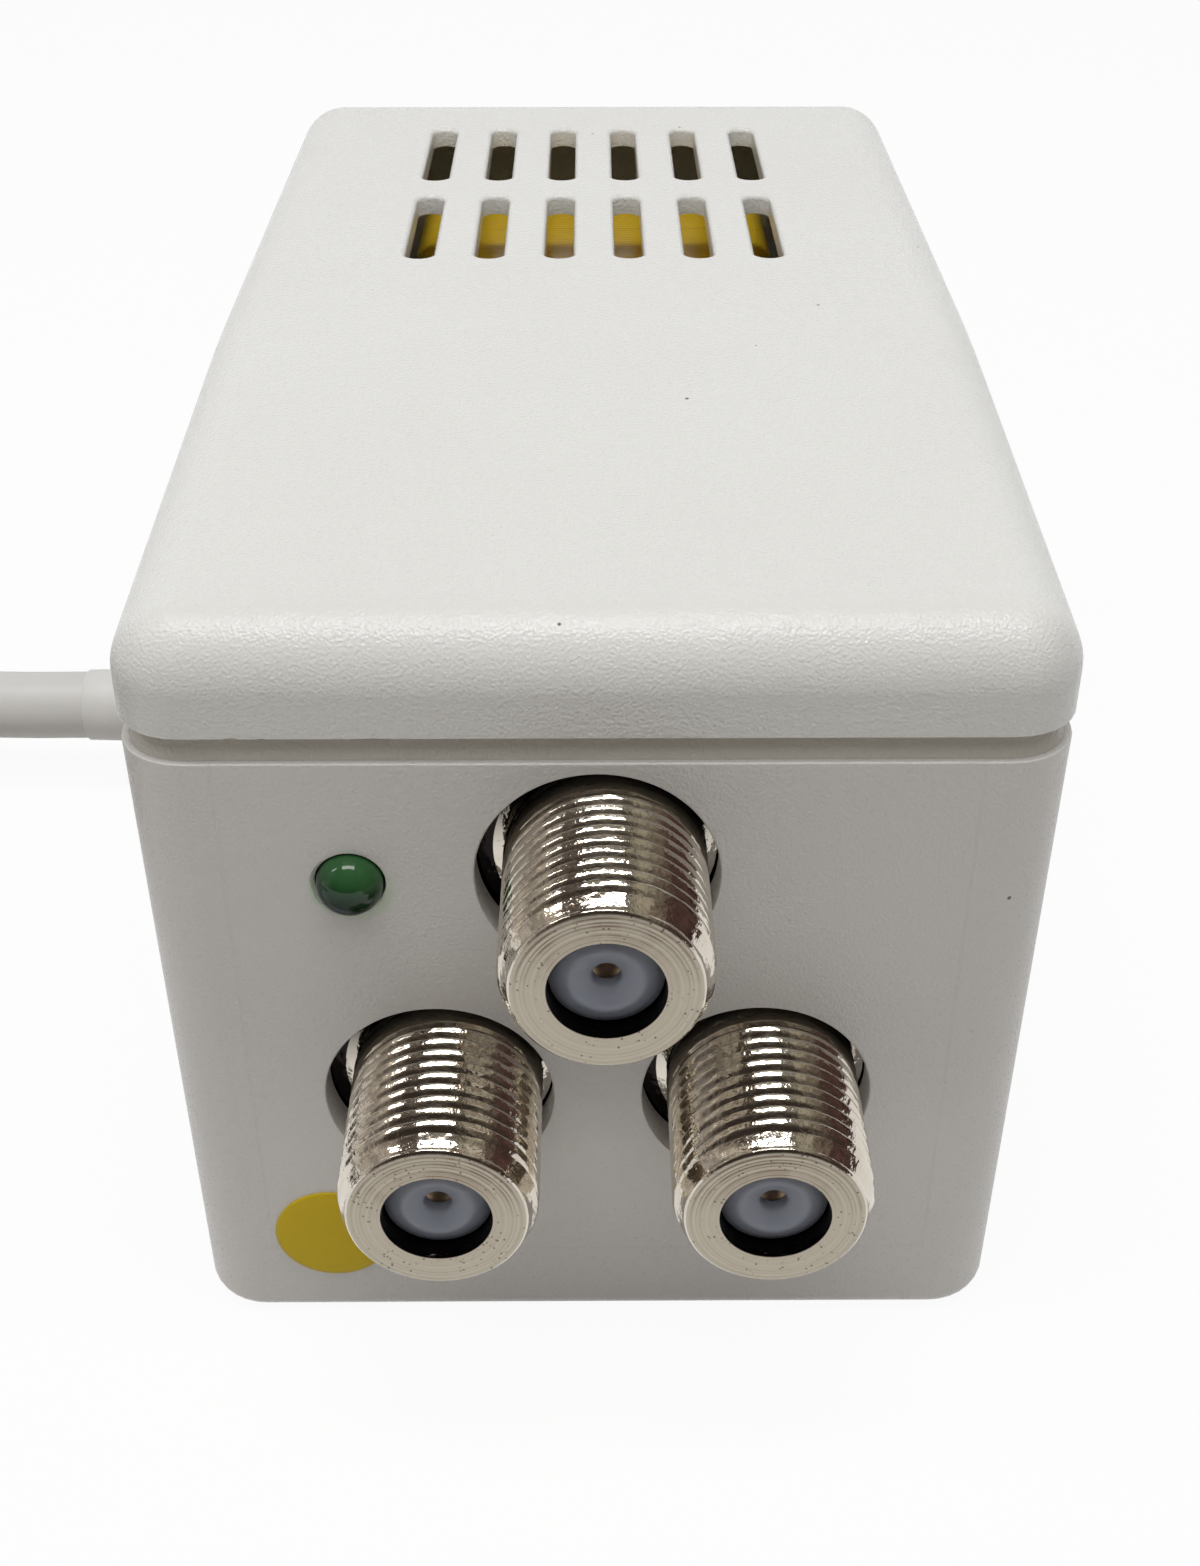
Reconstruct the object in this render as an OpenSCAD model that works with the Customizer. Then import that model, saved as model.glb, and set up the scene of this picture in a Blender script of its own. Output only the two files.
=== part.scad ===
// Aerial signal amplifier with a built-in mains supply: one input, two outputs.
// Millimetres, +Z up. The front panel faces -Y. Inside the modules, y = 0 is the
// front face of the base at its rim, and placed() moves each piece to the origin.

/* [Case] */
// Width of the base at its rim
body_w = 42.8; // [42:0.2:56]
// Depth of the base at its rim
body_d = 78; // [77:0.5:100]
// Height of the rim above the floor
rim_h = 35.5; // [34:0.25:44]
// Thickness of the walls and the floor
wall = 2; // [1.6:0.1:2.3]
// Lean of the base's walls, in degrees
draft = 0.57; // [0.1:0.01:1.2]
// Corner radius seen from above
corner_r = 3.2; // [2.4:0.1:5]
// Rounding of the bottom edge
foot_r = 1.2; // [0.4:0.1:1.6]

/* [Cover] */
// Rise of the cover's level top above the rim
cover_rise = 8.4; // [7.6:0.05:16]
// Thickness of the cover's top
roof = 1.2; // [1:0.1:2]
// How much lower the top is at its front edge
front_drop = 1.8; // [0.4:0.1:2.8]
// Distance of the bend in the top from the front
bend_d = 33; // [20:0.5:38]
// Rounding of the cover's top edges
edge_r = 3.2; // [1:0.1:3.6]
// How far the cover stands out past the rim
overhang = 0; // [0:0.05:0.5]
// Height of the shadow gap under the cover's edge
gap_h = 1.3; // [0.6:0.1:2]
// Depth of the shadow gap
gap_in = 0.55; // [0.2:0.05:0.9]
// Depth of the cover's lip inside the base
lip_h = 3; // [1.5:0.1:4]
// Thickness of the lip
lip_t = 1.2; // [0.8:0.1:1.5]
// Clearance between the lip and the base
lip_fit = 0.2; // [0.1:0.05:0.4]

/* [Vents] */
// Length of a vent slot
slot_l = 12; // [6:0.5:14]
// Width of a vent slot
slot_w = 1.7; // [1:0.1:2.4]
// Spacing of the slots in a row
slot_pitch = 4.17; // [3.6:0.01:5]
// Slots in a row
slot_n = 6; // [2:1:6]
// Distance of the rear row's middle from the back
row_back = 14.6; // [12:0.1:18]
// Spacing of the two rows
row_pitch = 15.4; // [14.8:0.1:18]

/* [Connectors] */
// Outside diameter of the connector thread
thread_d = 9.45; // [9:0.05:10]
// Pitch of the connector thread
thread_pitch = 0.794; // [0.7:0.001:1]
// Depth of the thread grooves
thread_cut = 0.4; // [0.2:0.05:0.6]
// Bore of the connector shell
bore_d = 5.14; // [4.6:0.02:6]
// How far the connectors stand out from the rim's front
conn_out = 8; // [6:0.1:12]
// Distance between any two of the three connectors
conn_gap = 15.6; // [14.4:0.1:16.2]
// Depth of the upper connector's middle below the rim
conn_drop = 6.24; // [6:0.02:8]
// Holes in the front panel
hole_d = 11.25; // [10.6:0.05:12]
// Diameter of the connector's flange behind the panel
flange_d = 12.6; // [12.4:0.1:13.4]
// Thickness of that flange
flange_t = 2; // [1.2:0.1:3]
// How far the connectors sit to the right of their holes
conn_off = 0.35; // [0:0.05:0.4]
// Recess of the insulator behind the connector's face
insul_in = 0.7; // [0.5:0.1:2.5]
// Diameter of the centre contact
contact_d = 1.5; // [1.2:0.1:1.8]

/* [Lamp and sticker] */
// Diameter of the green lamp
led_d = 3.1; // [2.6:0.1:3.4]
// Distance of the lamp to the left of the middle
led_left = 11.3; // [10.6:0.1:12]
// How far the lamp lies below the input connector's middle
led_drop = 0.25; // [0:0.05:1]
// How far the lamp stands out from the rim's front
led_out = 1.4; // [1.2:0.1:4]
// Diameter of the round sticker
sticker_d = 6; // [4:0.1:7]
// Distance of the sticker's middle from the left edge
sticker_edge = 7.6; // [6:0.1:9]
// Height of the sticker's middle
sticker_z = 6.1; // [5:0.05:7]
// Thickness of the sticker
sticker_t = 0.15; // [0.1:0.05:0.3]

/* [Boards] */
// Thickness of both circuit boards
pcb_t = 1.6; // [1:0.1:2]
// Height of the posts that carry the supply board
post_h = 5; // [4:0.1:5.4]
// Diameter of the posts
post_d = 5.4; // [4.4:0.1:6]
// Shank of the two board screws
screw_d = 2.2; // [1.8:0.1:2.6]
// Head of the board screws
screw_head_d = 4.4; // [3.6:0.1:5]
// Diameter of the smoothing capacitor
cap_d = 10; // [8:0.5:10.5]
// Height of the smoothing capacitor
cap_h = 16; // [10:0.5:22]
// Diameter of the small output capacitor
small_cap_d = 6.3; // [4:0.1:7]
// Height of the small output capacitor
small_cap_h = 11; // [7:0.5:16]

/* [Transformer] */
// Space between the iron core and the side walls
core_side = 1.3; // [0.8:0.1:4]
// Length of the iron core, front to back
core_l = 30; // [28:0.2:32]
// Thickness of the stack of plates
core_h = 15; // [12:0.5:15.4]
// Width of the core's middle leg
leg = 11; // [10:0.2:11.4]
// Width of each window beside the leg
window = 7.4; // [6:0.1:7.6]
// Space between the bobbin and the cover
bobbin_room = 3; // [1:0.1:6]
// Height of the feet under the bobbin
bobbin_foot = 1.2; // [0.6:0.1:1.4]

/* [Mains cord] */
// Diameter of the cord
cord_d = 5; // [4:0.1:6]
// Distance of the cord's exit from the back
bush_back = 25; // [22:0.5:28]
// Length of the strain relief outside the case
boot_out = 16.5; // [12:0.5:30]
// Inner radius of the put-away coil
coil_in = 20; // [20:0.5:26]
// Turns in each of the coil's two layers
coil_turns = 3.125; // [2.125:1:4.125]
// Gap between the coil's turns
turn_gap = 0.5; // [0.45:0.05:1]
// Thickness of the strap round the coil
tie_t = 0.9; // [0.6:0.1:1.4]
// Width of the strap
tie_w = 6; // [3:0.5:8]

/* [Plug] */
// Width of the plug's body
plug_w = 33; // [30:0.5:38]
// Thickness of the plug's body
plug_t = 14; // [12:0.5:16]
// Length of the plug's body
plug_l = 30; // [26:0.5:40]
// Length of the plug's strain relief
plug_boot = 14; // [10:0.5:30]
// Diameter of the pins
pin_d = 4; // [3.8:0.1:4.8]
// Length of the pins
pin_l = 19; // [15:0.5:20]
// Distance between the pins
pin_gap = 19; // [17:0.1:19.2]

/* [Hidden] */
$fn = 32;
eps = 0.01;

// Where the front of the rim lies, so that the object is centred on the origin
front_y = (conn_out - body_d - overhang) / 2;

// The base's walls lean in towards the floor
lean = tan(draft);
function half_w(z) = body_w / 2 - lean * (rim_h - z);
function face_y(z) = lean * (rim_h - z);

// Small clearances
seat = 0.05;
board_fit = 0.15;
lead_fit = 0.2;
slide = 0.2;

// Cover
cover_edge = rim_h + gap_h;
cover_top = rim_h + cover_rise;
cover_front_top = cover_top - front_drop;
lip_bottom = rim_h - lip_h;
lip_in = wall + lip_fit;

// Connectors stand on a triangle with equal sides, the input on top
conn_rise = conn_gap * sin(60);
conn_top = rim_h - conn_drop;
conn_low = conn_top - conn_rise;
input_at = [0, conn_top];
left_at = [-conn_gap / 2, conn_low];
right_at = [conn_gap / 2, conn_low];
conn_ats = [input_at, left_at, right_at];
flange_y = wall + face_y(0) + seat;
flange_back = flange_y + flange_t;
shell_l = conn_out + flange_back;
chamfer_l = 1.3;
end_chamfer = 0.35;
face_r = thread_d / 2 - thread_cut - end_chamfer;
thread_n = floor((conn_out - chamfer_l) / thread_pitch);
leg_d = 1;
leg_r = flange_d / 2 - leg_d;
leg_out = 1.4;
insul_bowl = 0.5;
insul_edge = 0.4;
socket_d = 1.25;
socket_l = 0.5;
tail_d = 0.8;
contact_bore_d = 0.6;
contact_bore_l = 5;

// Amplifier board, upright behind the front panel
rf_y = flange_back;
rf_back = rf_y + pcb_t;
rf_z = wall + 1;
rf_half = half_w(wall) - lip_in - lip_t - lip_fit;
rf_top = conn_top + flange_d / 2 + 1.2;
rib_t = 1.2;
rib_bite = 0.9;
rib_top = lip_bottom - 0.4;

// Lamp beside the input connector
led_at = [-led_left, conn_top - led_drop];
led_base = flange_y + 1;
led_rim_d = led_d + 0.8;
lead_d = 0.5;
lead_gap = 2.54;

// Supply board, flat on its posts, with a tongue under the transformer
pb_z = wall + post_h;
pb_top = pb_z + pcb_t;
pb_front = rf_back + 3;
pb_back = body_d - face_y(pb_z) - wall - 0.7;
pb_half = half_w(pb_z) - wall - 1.4;
post_in = 3.5;
post_front = 4;
post_y = pb_front + post_front;
post_x = pb_half - post_in;
peg_d = 2.2;
peg_x = 7.5;
peg_y = pb_back - post_d / 2;
pilot_l = 4;
screw_head_h = 1.6;

// Strain relief where the cord leaves the left wall
bush_hole_d = cord_d + 2.6;
bush_neck_d = bush_hole_d - 0.2;
bush_collar_d = bush_hole_d + 0.6;
bush_collar_l = 1.8;
bush_flange_rim = 2.5;
bush_flange_d = cord_d + 2 * bush_flange_rim;
bush_flange_t = 1.6;
bush_in = wall + seat + bush_collar_l;
bush_z = wall + bush_collar_d / 2 + 0.1;
bush_y = body_d - bush_back;
bush_x = half_w(bush_z);
cord_exit = [-bush_x - boot_out, bush_y, bush_z];

// Live and neutral wires, side by side along the left wall
wire_d = 1.4;
wire_gap = 1.7;
wire_out = 0.5;
wire_bend = 1.65;
wire_start = bush_in - bush_x;
live_lane = wire_start + wire_out + wire_bend;
neutral_lane = live_lane + 1.9;

// Transformer, lying with its winding along Y
trafo_gap = 0.4;
core_back = body_d - lip_in - lip_t - trafo_gap;
core_y = core_back - core_l / 2;
core_front = core_back - core_l;
core_w = 2 * (half_w(wall) - wall - core_side);
bobbin_h = cover_top - roof - bobbin_room - pb_top - bobbin_foot;
core_z = pb_top + bobbin_foot + bobbin_h / 2;
window_l = core_l - leg;
bobbin_y = window_l / 2 - slide;
bobbin_t = 0.9;
bobbin_wall = 0.8;
bobbin_half_x = leg / 2 + window - slide * 2;
tongue = -neutral_lane - wire_d / 2 - 0.5;
tongue_front = core_front - 0.5;
tube_x = leg / 2 + slide + bobbin_wall;
tube_z = core_h / 2 + slide + bobbin_wall;
tape_in = 0.4;
trafo_pin_d = 0.8;
trafo_pin_l = 3.4;
trafo_pin_xs = [-9, -3, 3, 9];

// Lead from the strain relief to the coil: x and y from the exit, and the share
// of the way down from the exit to the coil's lower layer
lead_route = [
  [0, 0, 0], [-5, 0, 0], [-8.5, 0.3, 0.02], [-11.8, 1.2, 0.07], [-15, 2.7, 0.15],
  [-17.9, 4.7, 0.26], [-20.3, 7.1, 0.38], [-22.3, 10, 0.5], [-24.3, 12.9, 0.62],
  [-26.7, 15.3, 0.74], [-29.6, 17.3, 0.85], [-32.8, 18.8, 0.93], [-36.1, 19.7, 0.98],
  [-39.6, 20, 1], [-44.6, 20, 1]
];
lead_sides = 10;

// Coil: the lower layer winds in, the upper layer winds out
coil_step = cord_d + turn_gap;
coil_out = coil_in + coil_step * coil_turns;
tie_fit = 0.5;
coil_low = tie_t + 0.3 + cord_d / 2;
coil_high = coil_low + coil_step;
lead_last = lead_route[len(lead_route) - 1];
coil_start = [cord_exit[0] + lead_last[0], cord_exit[1] + lead_last[1], coil_low];
coil_at = [coil_start[0] - cord_d, coil_start[1] - coil_out, 0];
coil_rings = 24;
coil_sides = 6;
coil_start_deg = 90;
// Tail from the coil to the plug: distance run, and share of the way down
tail_route = [[4, 0.16], [8, 0.5], [12, 0.84], [16, 1], [21, 1]];
tie_turn = 0.625;

// Plug, flat on the floor at the coil's left
plug_z = plug_t / 2;
tail_last = tail_route[len(tail_route) - 1];
plug_at = [coil_at[0] - coil_out, coil_at[1] - tail_last[0], plug_z];

// Wires on the boards
wire_land = 4;
wire_land_y = tongue_front - wire_land;
supply_from_screw = 3.2;
supply_gap = 2.5;
supply_x = post_x - supply_from_screw;
supply_front = 1.8;
supply_y = pb_front + supply_front;
supply_rise = 6.1;
supply_z = conn_low + supply_rise;

// Parts on the back of the amplifier board
transistor_d = 4.8;
transistor_h = 1.9;
transistor_lift = 0.3;
transistor_lead = [1.8, 0.5, 1];
transistor_left = 7.2;
transistor_left_drop = 5.6;
transistor_right = 8.6;
transistor_right_drop = 4;
transistor_ats = [
  [-transistor_left, conn_top - transistor_left_drop],
  [transistor_right, conn_top - transistor_right_drop]
];
block_size = [5, 4, 6];
block_hole_d = 1.4;
block_hole_gap = 2.4;
block_wire_d = 0.7;
chip_cap = [2, 0.8, 1.25];
chip_cap_pitch = 3.5;
chip_cap_rise = 3.5;
chip_cap_z = rf_z + chip_cap_rise;
chip_res = [3.2, 0.6, 1.6];
chip_res_pitch = 4.4;
chip_res_rise = 1.5;
chip_res_z = rf_z + chip_res_rise;
choke_d = 6;
choke_neck_d = 4.4;
choke_l = 5;
choke_rim = 0.9;
choke_right = 12;
choke_rise = 2.4;
choke_at = [choke_right, conn_top + choke_rise];

// Parts on the supply board: sizes, and distances from its edges
diode_d = 2.7;
diode_l = 5.2;
diode_span = 11;
diode_pitch = 3.8;
diode_back = 9;
fuse_d = 3.2;
fuse_l = 7;
fuse_side = 1.9;
fuse_back = 13;
axial_wire_d = 0.8;
cap_side = 10.1;
cap_back = 10;
cap_x = -pb_half + cap_side;
diode_gap = 0.55;
diode_x = cap_x + (cap_d + diode_d) / 2 + diode_gap;
small_cap_side = 12.1;
small_cap_front = 6;
small_cap_x = -pb_half + small_cap_side;
reg_size = [10.2, 3.2, 9];
reg_tab = [10.2, 1.3, 15.5];
reg_legs = 3.4;
reg_leg_gap = 2.54;
reg_leg = [0.8, 0.5];
reg_hole_d = 3.6;
reg_hole_h = 12.4;
reg_x = 6;
reg_front = 9;
disc_d = 5;
disc_t = 2;
disc_lift = 1;
disc_leg_d = 0.6;
disc_leg_gap = 3;
disc_left_side = 6.5;
disc_left_front = 9.2;
disc_right_side = 3.3;
disc_right_front = 13.5;
disc_ats = [
  [-pb_half + disc_left_side, pb_front + disc_left_front],
  [pb_half - disc_right_side, pb_front + disc_right_front]
];

function unit(v) = v / norm(v);
function smooth(t) = t <= 0 ? 0 : t >= 1 ? 1 : t * t * (3 - 2 * t);

// Direction of a path at each of its points
function headings(p) = [
  for (i = [0 : len(p) - 1]) unit(p[min(i + 1, len(p) - 1)] - p[max(i - 1, 0)])
];
// A side vector carried along the path without twisting
function square_to(n, t) = unit(n - (n * t) * t);
function sides_along(ts, n0) = [
  for (i = 0, n = square_to(n0, ts[0]); i < len(ts);
       i = i + 1, n = square_to(n, ts[min(i, len(ts) - 1)])) n
];

// A tube of round section along the points p, with flat ends
module tube(p, d, sides, first_side) {
  ts = headings(p);
  ns = sides_along(ts, first_side);
  points = [
    for (i = [0 : len(p) - 1], k = [0 : sides - 1])
      p[i] + d / 2 * (cos(360 * k / sides) * ns[i] + sin(360 * k / sides) * cross(ts[i], ns[i]))
  ];
  last = (len(p) - 1) * sides;
  skin = [
    for (i = [0 : len(p) - 2], k = [0 : sides - 1], half = [0, 1])
      let (a = i * sides + k, b = i * sides + (k + 1) % sides)
        half == 0 ? [a, a + sides, b] : [b, a + sides, b + sides]
  ];
  ends = [
    for (k = [1 : sides - 2], far = [0, 1])
      far == 0 ? [0, k, k + 1] : [last, last + k + 1, last + k]
  ];
  polyhedron(points, concat(skin, ends));
}

// A rectangle with round corners, centred
module round_rect(w, l, r) {
  square([w - 2 * r, l], center = true);
  square([w, l - 2 * r], center = true);
  for (x = [-1, 1], y = [-1, 1])
    translate([x * (w / 2 - r), y * (l / 2 - r)]) circle(r);
}

// Lays a shape that was turned round Z along the Y axis, front end first
module along_y(at, y) {
  translate([at[0], y, at[1]]) rotate([-90, 0, 0]) children();
}

// Four thin discs at the corners of the base at height z, set in from its faces
module base_corners(z, inset, r) {
  x = half_w(z) - inset - r;
  for (sx = [-1, 1], y = [face_y(z) + inset + r, body_d - face_y(z) - inset - r])
    translate([sx * x, y, z]) cylinder(r = r, h = eps);
}

module base_block() {
  hull() {
    base_corners(0, foot_r, max(corner_r - foot_r, 0.5));
    base_corners(foot_r, 0, corner_r);
    base_corners(rim_h - eps, 0, corner_r);
  }
}

module base_hollow() {
  inner_r = max(corner_r - wall, 0.4);
  hull() {
    base_corners(wall, wall, inner_r);
    base_corners(rim_h, wall, inner_r);
  }
}

// Pairs of ribs on the side walls that hold the amplifier board, and its sill
module board_ribs() {
  reach = half_w(wall) - wall / 2 - (rf_half - rib_bite);
  for (s = [0, 1], y = [rf_y - board_fit - rib_t, rf_back + board_fit])
    mirror([s, 0, 0])
      translate([rf_half - rib_bite, y, wall / 2]) cube([reach, rib_t, rib_top - wall / 2]);
  translate([-rf_half / 2, rf_y, wall / 2]) cube([rf_half, pcb_t, rf_z - wall / 2]);
}

module board_posts() {
  for (s = [-1, 1]) {
    translate([s * post_x, post_y, wall / 2]) cylinder(d = post_d, h = pb_z - wall / 2);
    translate([s * peg_x, peg_y, wall / 2]) cylinder(d = post_d, h = pb_z - wall / 2);
    translate([s * peg_x, peg_y, pb_z - 1]) cylinder(d = peg_d, h = pcb_t + 2);
  }
}

module base_cuts() {
  for (at = conn_ats) along_y(at, -wall) cylinder(d = hole_d, h = flange_y + 2 * wall);
  along_y(led_at, -wall) cylinder(d = led_d + slide, h = flange_y + 2 * wall);
  translate([-bush_x - wall, bush_y, bush_z])
    rotate([0, 90, 0]) cylinder(d = bush_hole_d, h = 3 * wall);
  for (s = [-1, 1])
    translate([s * post_x, post_y, pb_z - pilot_l]) cylinder(d = screw_d + 0.1, h = pilot_l + 1);
}

module base_case() {
  color("gainsboro")
    difference() {
      union() {
        difference() {
          base_block();
          base_hollow();
        }
        board_ribs();
        board_posts();
      }
      base_cuts();
    }
}

// Upper half of a ball
module dome(r) {
  intersection() {
    sphere(r);
    translate([-r, -r, 0]) cube([2 * r, 2 * r, r]);
  }
}

// Rounded body of the cover, set in from its sides by inset and from its top by down
module cover_block(inset, down, bottom) {
  r = max(edge_r - inset, 0.6);
  x = body_w / 2 + overhang - inset - r;
  y0 = inset + r - overhang;
  y1 = body_d + overhang - inset - r;
  plan_r = max(corner_r - inset, 0.6);
  px = body_w / 2 + overhang - inset - plan_r;
  py0 = inset + plan_r - overhang;
  py1 = body_d + overhang - inset - plan_r;
  hull() {
    for (s = [-1, 1]) {
      for (y = [py0, py1]) translate([s * px, y, bottom]) cylinder(r = plan_r, h = eps);
      translate([s * x, y0, cover_front_top - down - r]) dome(r);
      translate([s * x, bend_d, cover_top - down - r]) dome(r);
      translate([s * x, y1, cover_top - down - r]) dome(r);
    }
  }
}

// Straight ring that follows the rim, from inset to inset + t
module rim_ring(inset, t, z, h) {
  translate([0, body_d / 2, z])
    linear_extrude(h)
      difference() {
        round_rect(body_w - 2 * inset, body_d - 2 * inset, max(corner_r - inset, 0.6));
        round_rect(body_w - 2 * (inset + t), body_d - 2 * (inset + t), max(corner_r - inset - t, 0.4));
      }
}

module vent_slots() {
  for (row = [0, 1], i = [0 : slot_n - 1])
    translate([(i - (slot_n - 1) / 2) * slot_pitch, body_d - row_back - row * row_pitch, rim_h]) {
      straight = slot_l - slot_w;
      translate([-slot_w / 2, -straight / 2, 0]) cube([slot_w, straight, cover_rise + wall]);
      for (s = [-1, 1]) translate([0, s * straight / 2, 0]) cylinder(d = slot_w, h = cover_rise + wall);
    }
}

module top_cover() {
  color("whitesmoke")
    difference() {
      union() {
        difference() {
          cover_block(0, 0, cover_edge);
          cover_block(wall, roof, cover_edge - eps);
        }
        rim_ring(gap_in, wall + lip_fit + lip_t - gap_in, rim_h, gap_h + 0.3);
        rim_ring(lip_in, lip_t, lip_bottom, lip_h + 0.3);
      }
      vent_slots();
      // The lip and its ledge stop short of the amplifier board and the connectors
      translate([-rf_half - lip_fit, wall, lip_bottom - 1])
        cube([2 * (rf_half + lip_fit), lip_fit + lip_t + 1, lip_h + gap_h + 2]);
    }
}

module front_sticker() {
  color("gold")
    translate([sticker_edge - body_w / 2, face_y(sticker_z), sticker_z])
      rotate([90 + draft, 0, 0]) cylinder(d = sticker_d, h = sticker_t);
}

// One connector's metal shell: threaded barrel, flange and four solder legs
module connector_shell(at) {
  root_r = thread_d / 2 - thread_cut;
  ridges = [
    for (i = [0 : thread_n - 1], k = [0 : 3])
      let (l = chamfer_l + i * thread_pitch)
        [k == 0 || k == 3 ? root_r : thread_d / 2, l + [0.2, 0.3, 0.7, 0.8][k] * thread_pitch]
  ];
  profile = concat(
    [[bore_d / 2, 0], [face_r, 0], [root_r, end_chamfer]],
    ridges,
    [[root_r, conn_out + flange_y], [flange_d / 2, conn_out + flange_y], [flange_d / 2, shell_l],
     [bore_d / 2, shell_l]]
  );
  color("silver") {
    along_y([at[0] + conn_off, at[1]], -conn_out) rotate_extrude() polygon(profile);
    for (a = [45 : 90 : 315])
      along_y([at[0] + conn_off + leg_r * cos(a), at[1] + leg_r * sin(a)], flange_back - 0.5)
        cylinder(d = leg_d, h = 0.5 + pcb_t + leg_out);
  }
}

module connector_insulator(at) {
  r = bore_d / 2 - seat;
  socket_end = insul_in + insul_bowl + socket_l;
  profile = [
    [socket_d / 2, insul_in + insul_bowl], [r * 0.58, insul_in], [r * 0.66, insul_in],
    [r, insul_in + insul_edge], [r, shell_l], [contact_d / 2 + seat, shell_l],
    [contact_d / 2 + seat, socket_end], [socket_d / 2, socket_end]
  ];
  color("lightsteelblue")
    along_y([at[0] + conn_off, at[1]], -conn_out) rotate_extrude() polygon(profile);
}

module connector_contact(at) {
  start = insul_in + insul_bowl + socket_l + seat;
  color("goldenrod")
    difference() {
      union() {
        along_y([at[0] + conn_off, at[1]], start - conn_out)
          cylinder(d = contact_d, h = shell_l - start - seat);
        along_y([at[0] + conn_off, at[1]], flange_back - 1)
          cylinder(d = tail_d, h = 1 + pcb_t + 1.2);
      }
      along_y([at[0] + conn_off, at[1]], start - conn_out - 1)
        cylinder(d = contact_bore_d, h = 1 + contact_bore_l);
    }
}

module rf_board() {
  color("seagreen")
    difference() {
      translate([-rf_half, rf_y, rf_z]) cube([2 * rf_half, pcb_t, rf_top - rf_z]);
      for (at = conn_ats) {
        along_y([at[0] + conn_off, at[1]], rf_y - 1) cylinder(d = tail_d + 2 * lead_fit, h = pcb_t + 2);
        for (a = [45 : 90 : 315])
          along_y([at[0] + conn_off + leg_r * cos(a), at[1] + leg_r * sin(a)], rf_y - 1)
            cylinder(d = leg_d + 2 * lead_fit, h = pcb_t + 2);
      }
      for (s = [-1, 1])
        along_y([led_at[0] + s * lead_gap / 2, led_at[1]], rf_y - 1)
          cylinder(d = lead_d + 2 * lead_fit, h = pcb_t + 2);
    }
}

module power_led() {
  r = led_d / 2;
  color("limegreen") {
    along_y(led_at, r - led_out) sphere(r);
    along_y(led_at, r - led_out) cylinder(r = r, h = led_base + led_out - r);
    along_y(led_at, flange_y) cylinder(d = led_rim_d, h = led_base - flange_y);
  }
}

module led_leads() {
  color("silver")
    for (s = [-1, 1])
      along_y([led_at[0] + s * lead_gap / 2, led_at[1]], led_base)
        cylinder(d = lead_d, h = rf_back + 1 - led_base);
}

// Two round amplifier transistors with flat leads, on the board's back
module rf_transistors() {
  color("dimgray")
    for (at = transistor_ats) {
      along_y(at, rf_back + transistor_lift) cylinder(d = transistor_d, h = transistor_h);
      for (turn = [0, 180, 270])
        translate([at[0], rf_back, at[1]]) rotate([0, turn, 0])
          translate([transistor_d / 2 - transistor_lead[0] / 3, 0, -transistor_lead[2] / 2])
            cube(transistor_lead);
    }
}

// Ferrite block with two holes, which shares the signal between the outputs
module splitter_core() {
  z = conn_low - 0.4;
  color("darkslategray")
    difference() {
      translate([conn_off - block_size[0] / 2, rf_back, z]) cube(block_size);
      for (s = [-1, 1])
        translate([conn_off + s * block_hole_gap / 2, rf_back + block_size[1] / 2, z - 1])
          cylinder(d = block_hole_d, h = block_size[2] + 2);
    }
}

// Thin enamelled wire through both holes of the ferrite block
module splitter_wire() {
  z0 = conn_low - 1.6;
  z1 = conn_low + block_size[2] + 0.8;
  y = rf_back + block_size[1] / 2;
  color("sienna") {
    for (s = [-1, 1])
      translate([conn_off + s * block_hole_gap / 2, y, z0]) cylinder(d = block_wire_d, h = z1 - z0);
    translate([conn_off - block_hole_gap / 2, y, z1 - block_wire_d / 2])
      rotate([0, 90, 0]) cylinder(d = block_wire_d, h = block_hole_gap);
  }
}

// A row of n chips, centred at height z on the board's back
module chip_row(size, n, pitch, z) {
  for (i = [0 : n - 1])
    translate([(i - (n - 1) / 2) * pitch - size[0] / 2, rf_back, z - size[2] / 2]) cube(size);
}

module rf_chip_capacitors() {
  color("tan") chip_row(chip_cap, 8, chip_cap_pitch, chip_cap_z);
}

module rf_chip_resistors() {
  color("black") chip_row(chip_res, 6, chip_res_pitch, chip_res_z);
}

// Small drum coil that feeds the amplifier
module rf_choke() {
  r = choke_d / 2;
  neck = choke_neck_d / 2;
  color("saddlebrown")
    along_y(choke_at, rf_back)
      rotate_extrude()
        polygon([
          [0, 0], [r, 0], [r, choke_rim], [neck, choke_rim], [neck, choke_l - choke_rim],
          [r, choke_l - choke_rim], [r, choke_l], [0, choke_l]
        ]);
}

module power_board() {
  color("darkgoldenrod")
    difference() {
      union() {
        translate([-pb_half, pb_front, pb_z]) cube([2 * pb_half, tongue_front - pb_front, pcb_t]);
        translate([-tongue, pb_front, pb_z]) cube([2 * tongue, pb_back - pb_front, pcb_t]);
      }
      for (s = [-1, 1]) {
        translate([s * post_x, post_y, pb_z - 1]) cylinder(d = screw_d + 2 * slide, h = pcb_t + 2);
        translate([s * peg_x, peg_y, pb_z - 1]) cylinder(d = peg_d + 2 * slide, h = pcb_t + 2);
        for (x = trafo_pin_xs)
          translate([x, core_y + s * (bobbin_y - bobbin_t / 2), pb_z - 1])
            cylinder(d = trafo_pin_d + 2 * lead_fit, h = pcb_t + 2);
      }
    }
}

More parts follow.
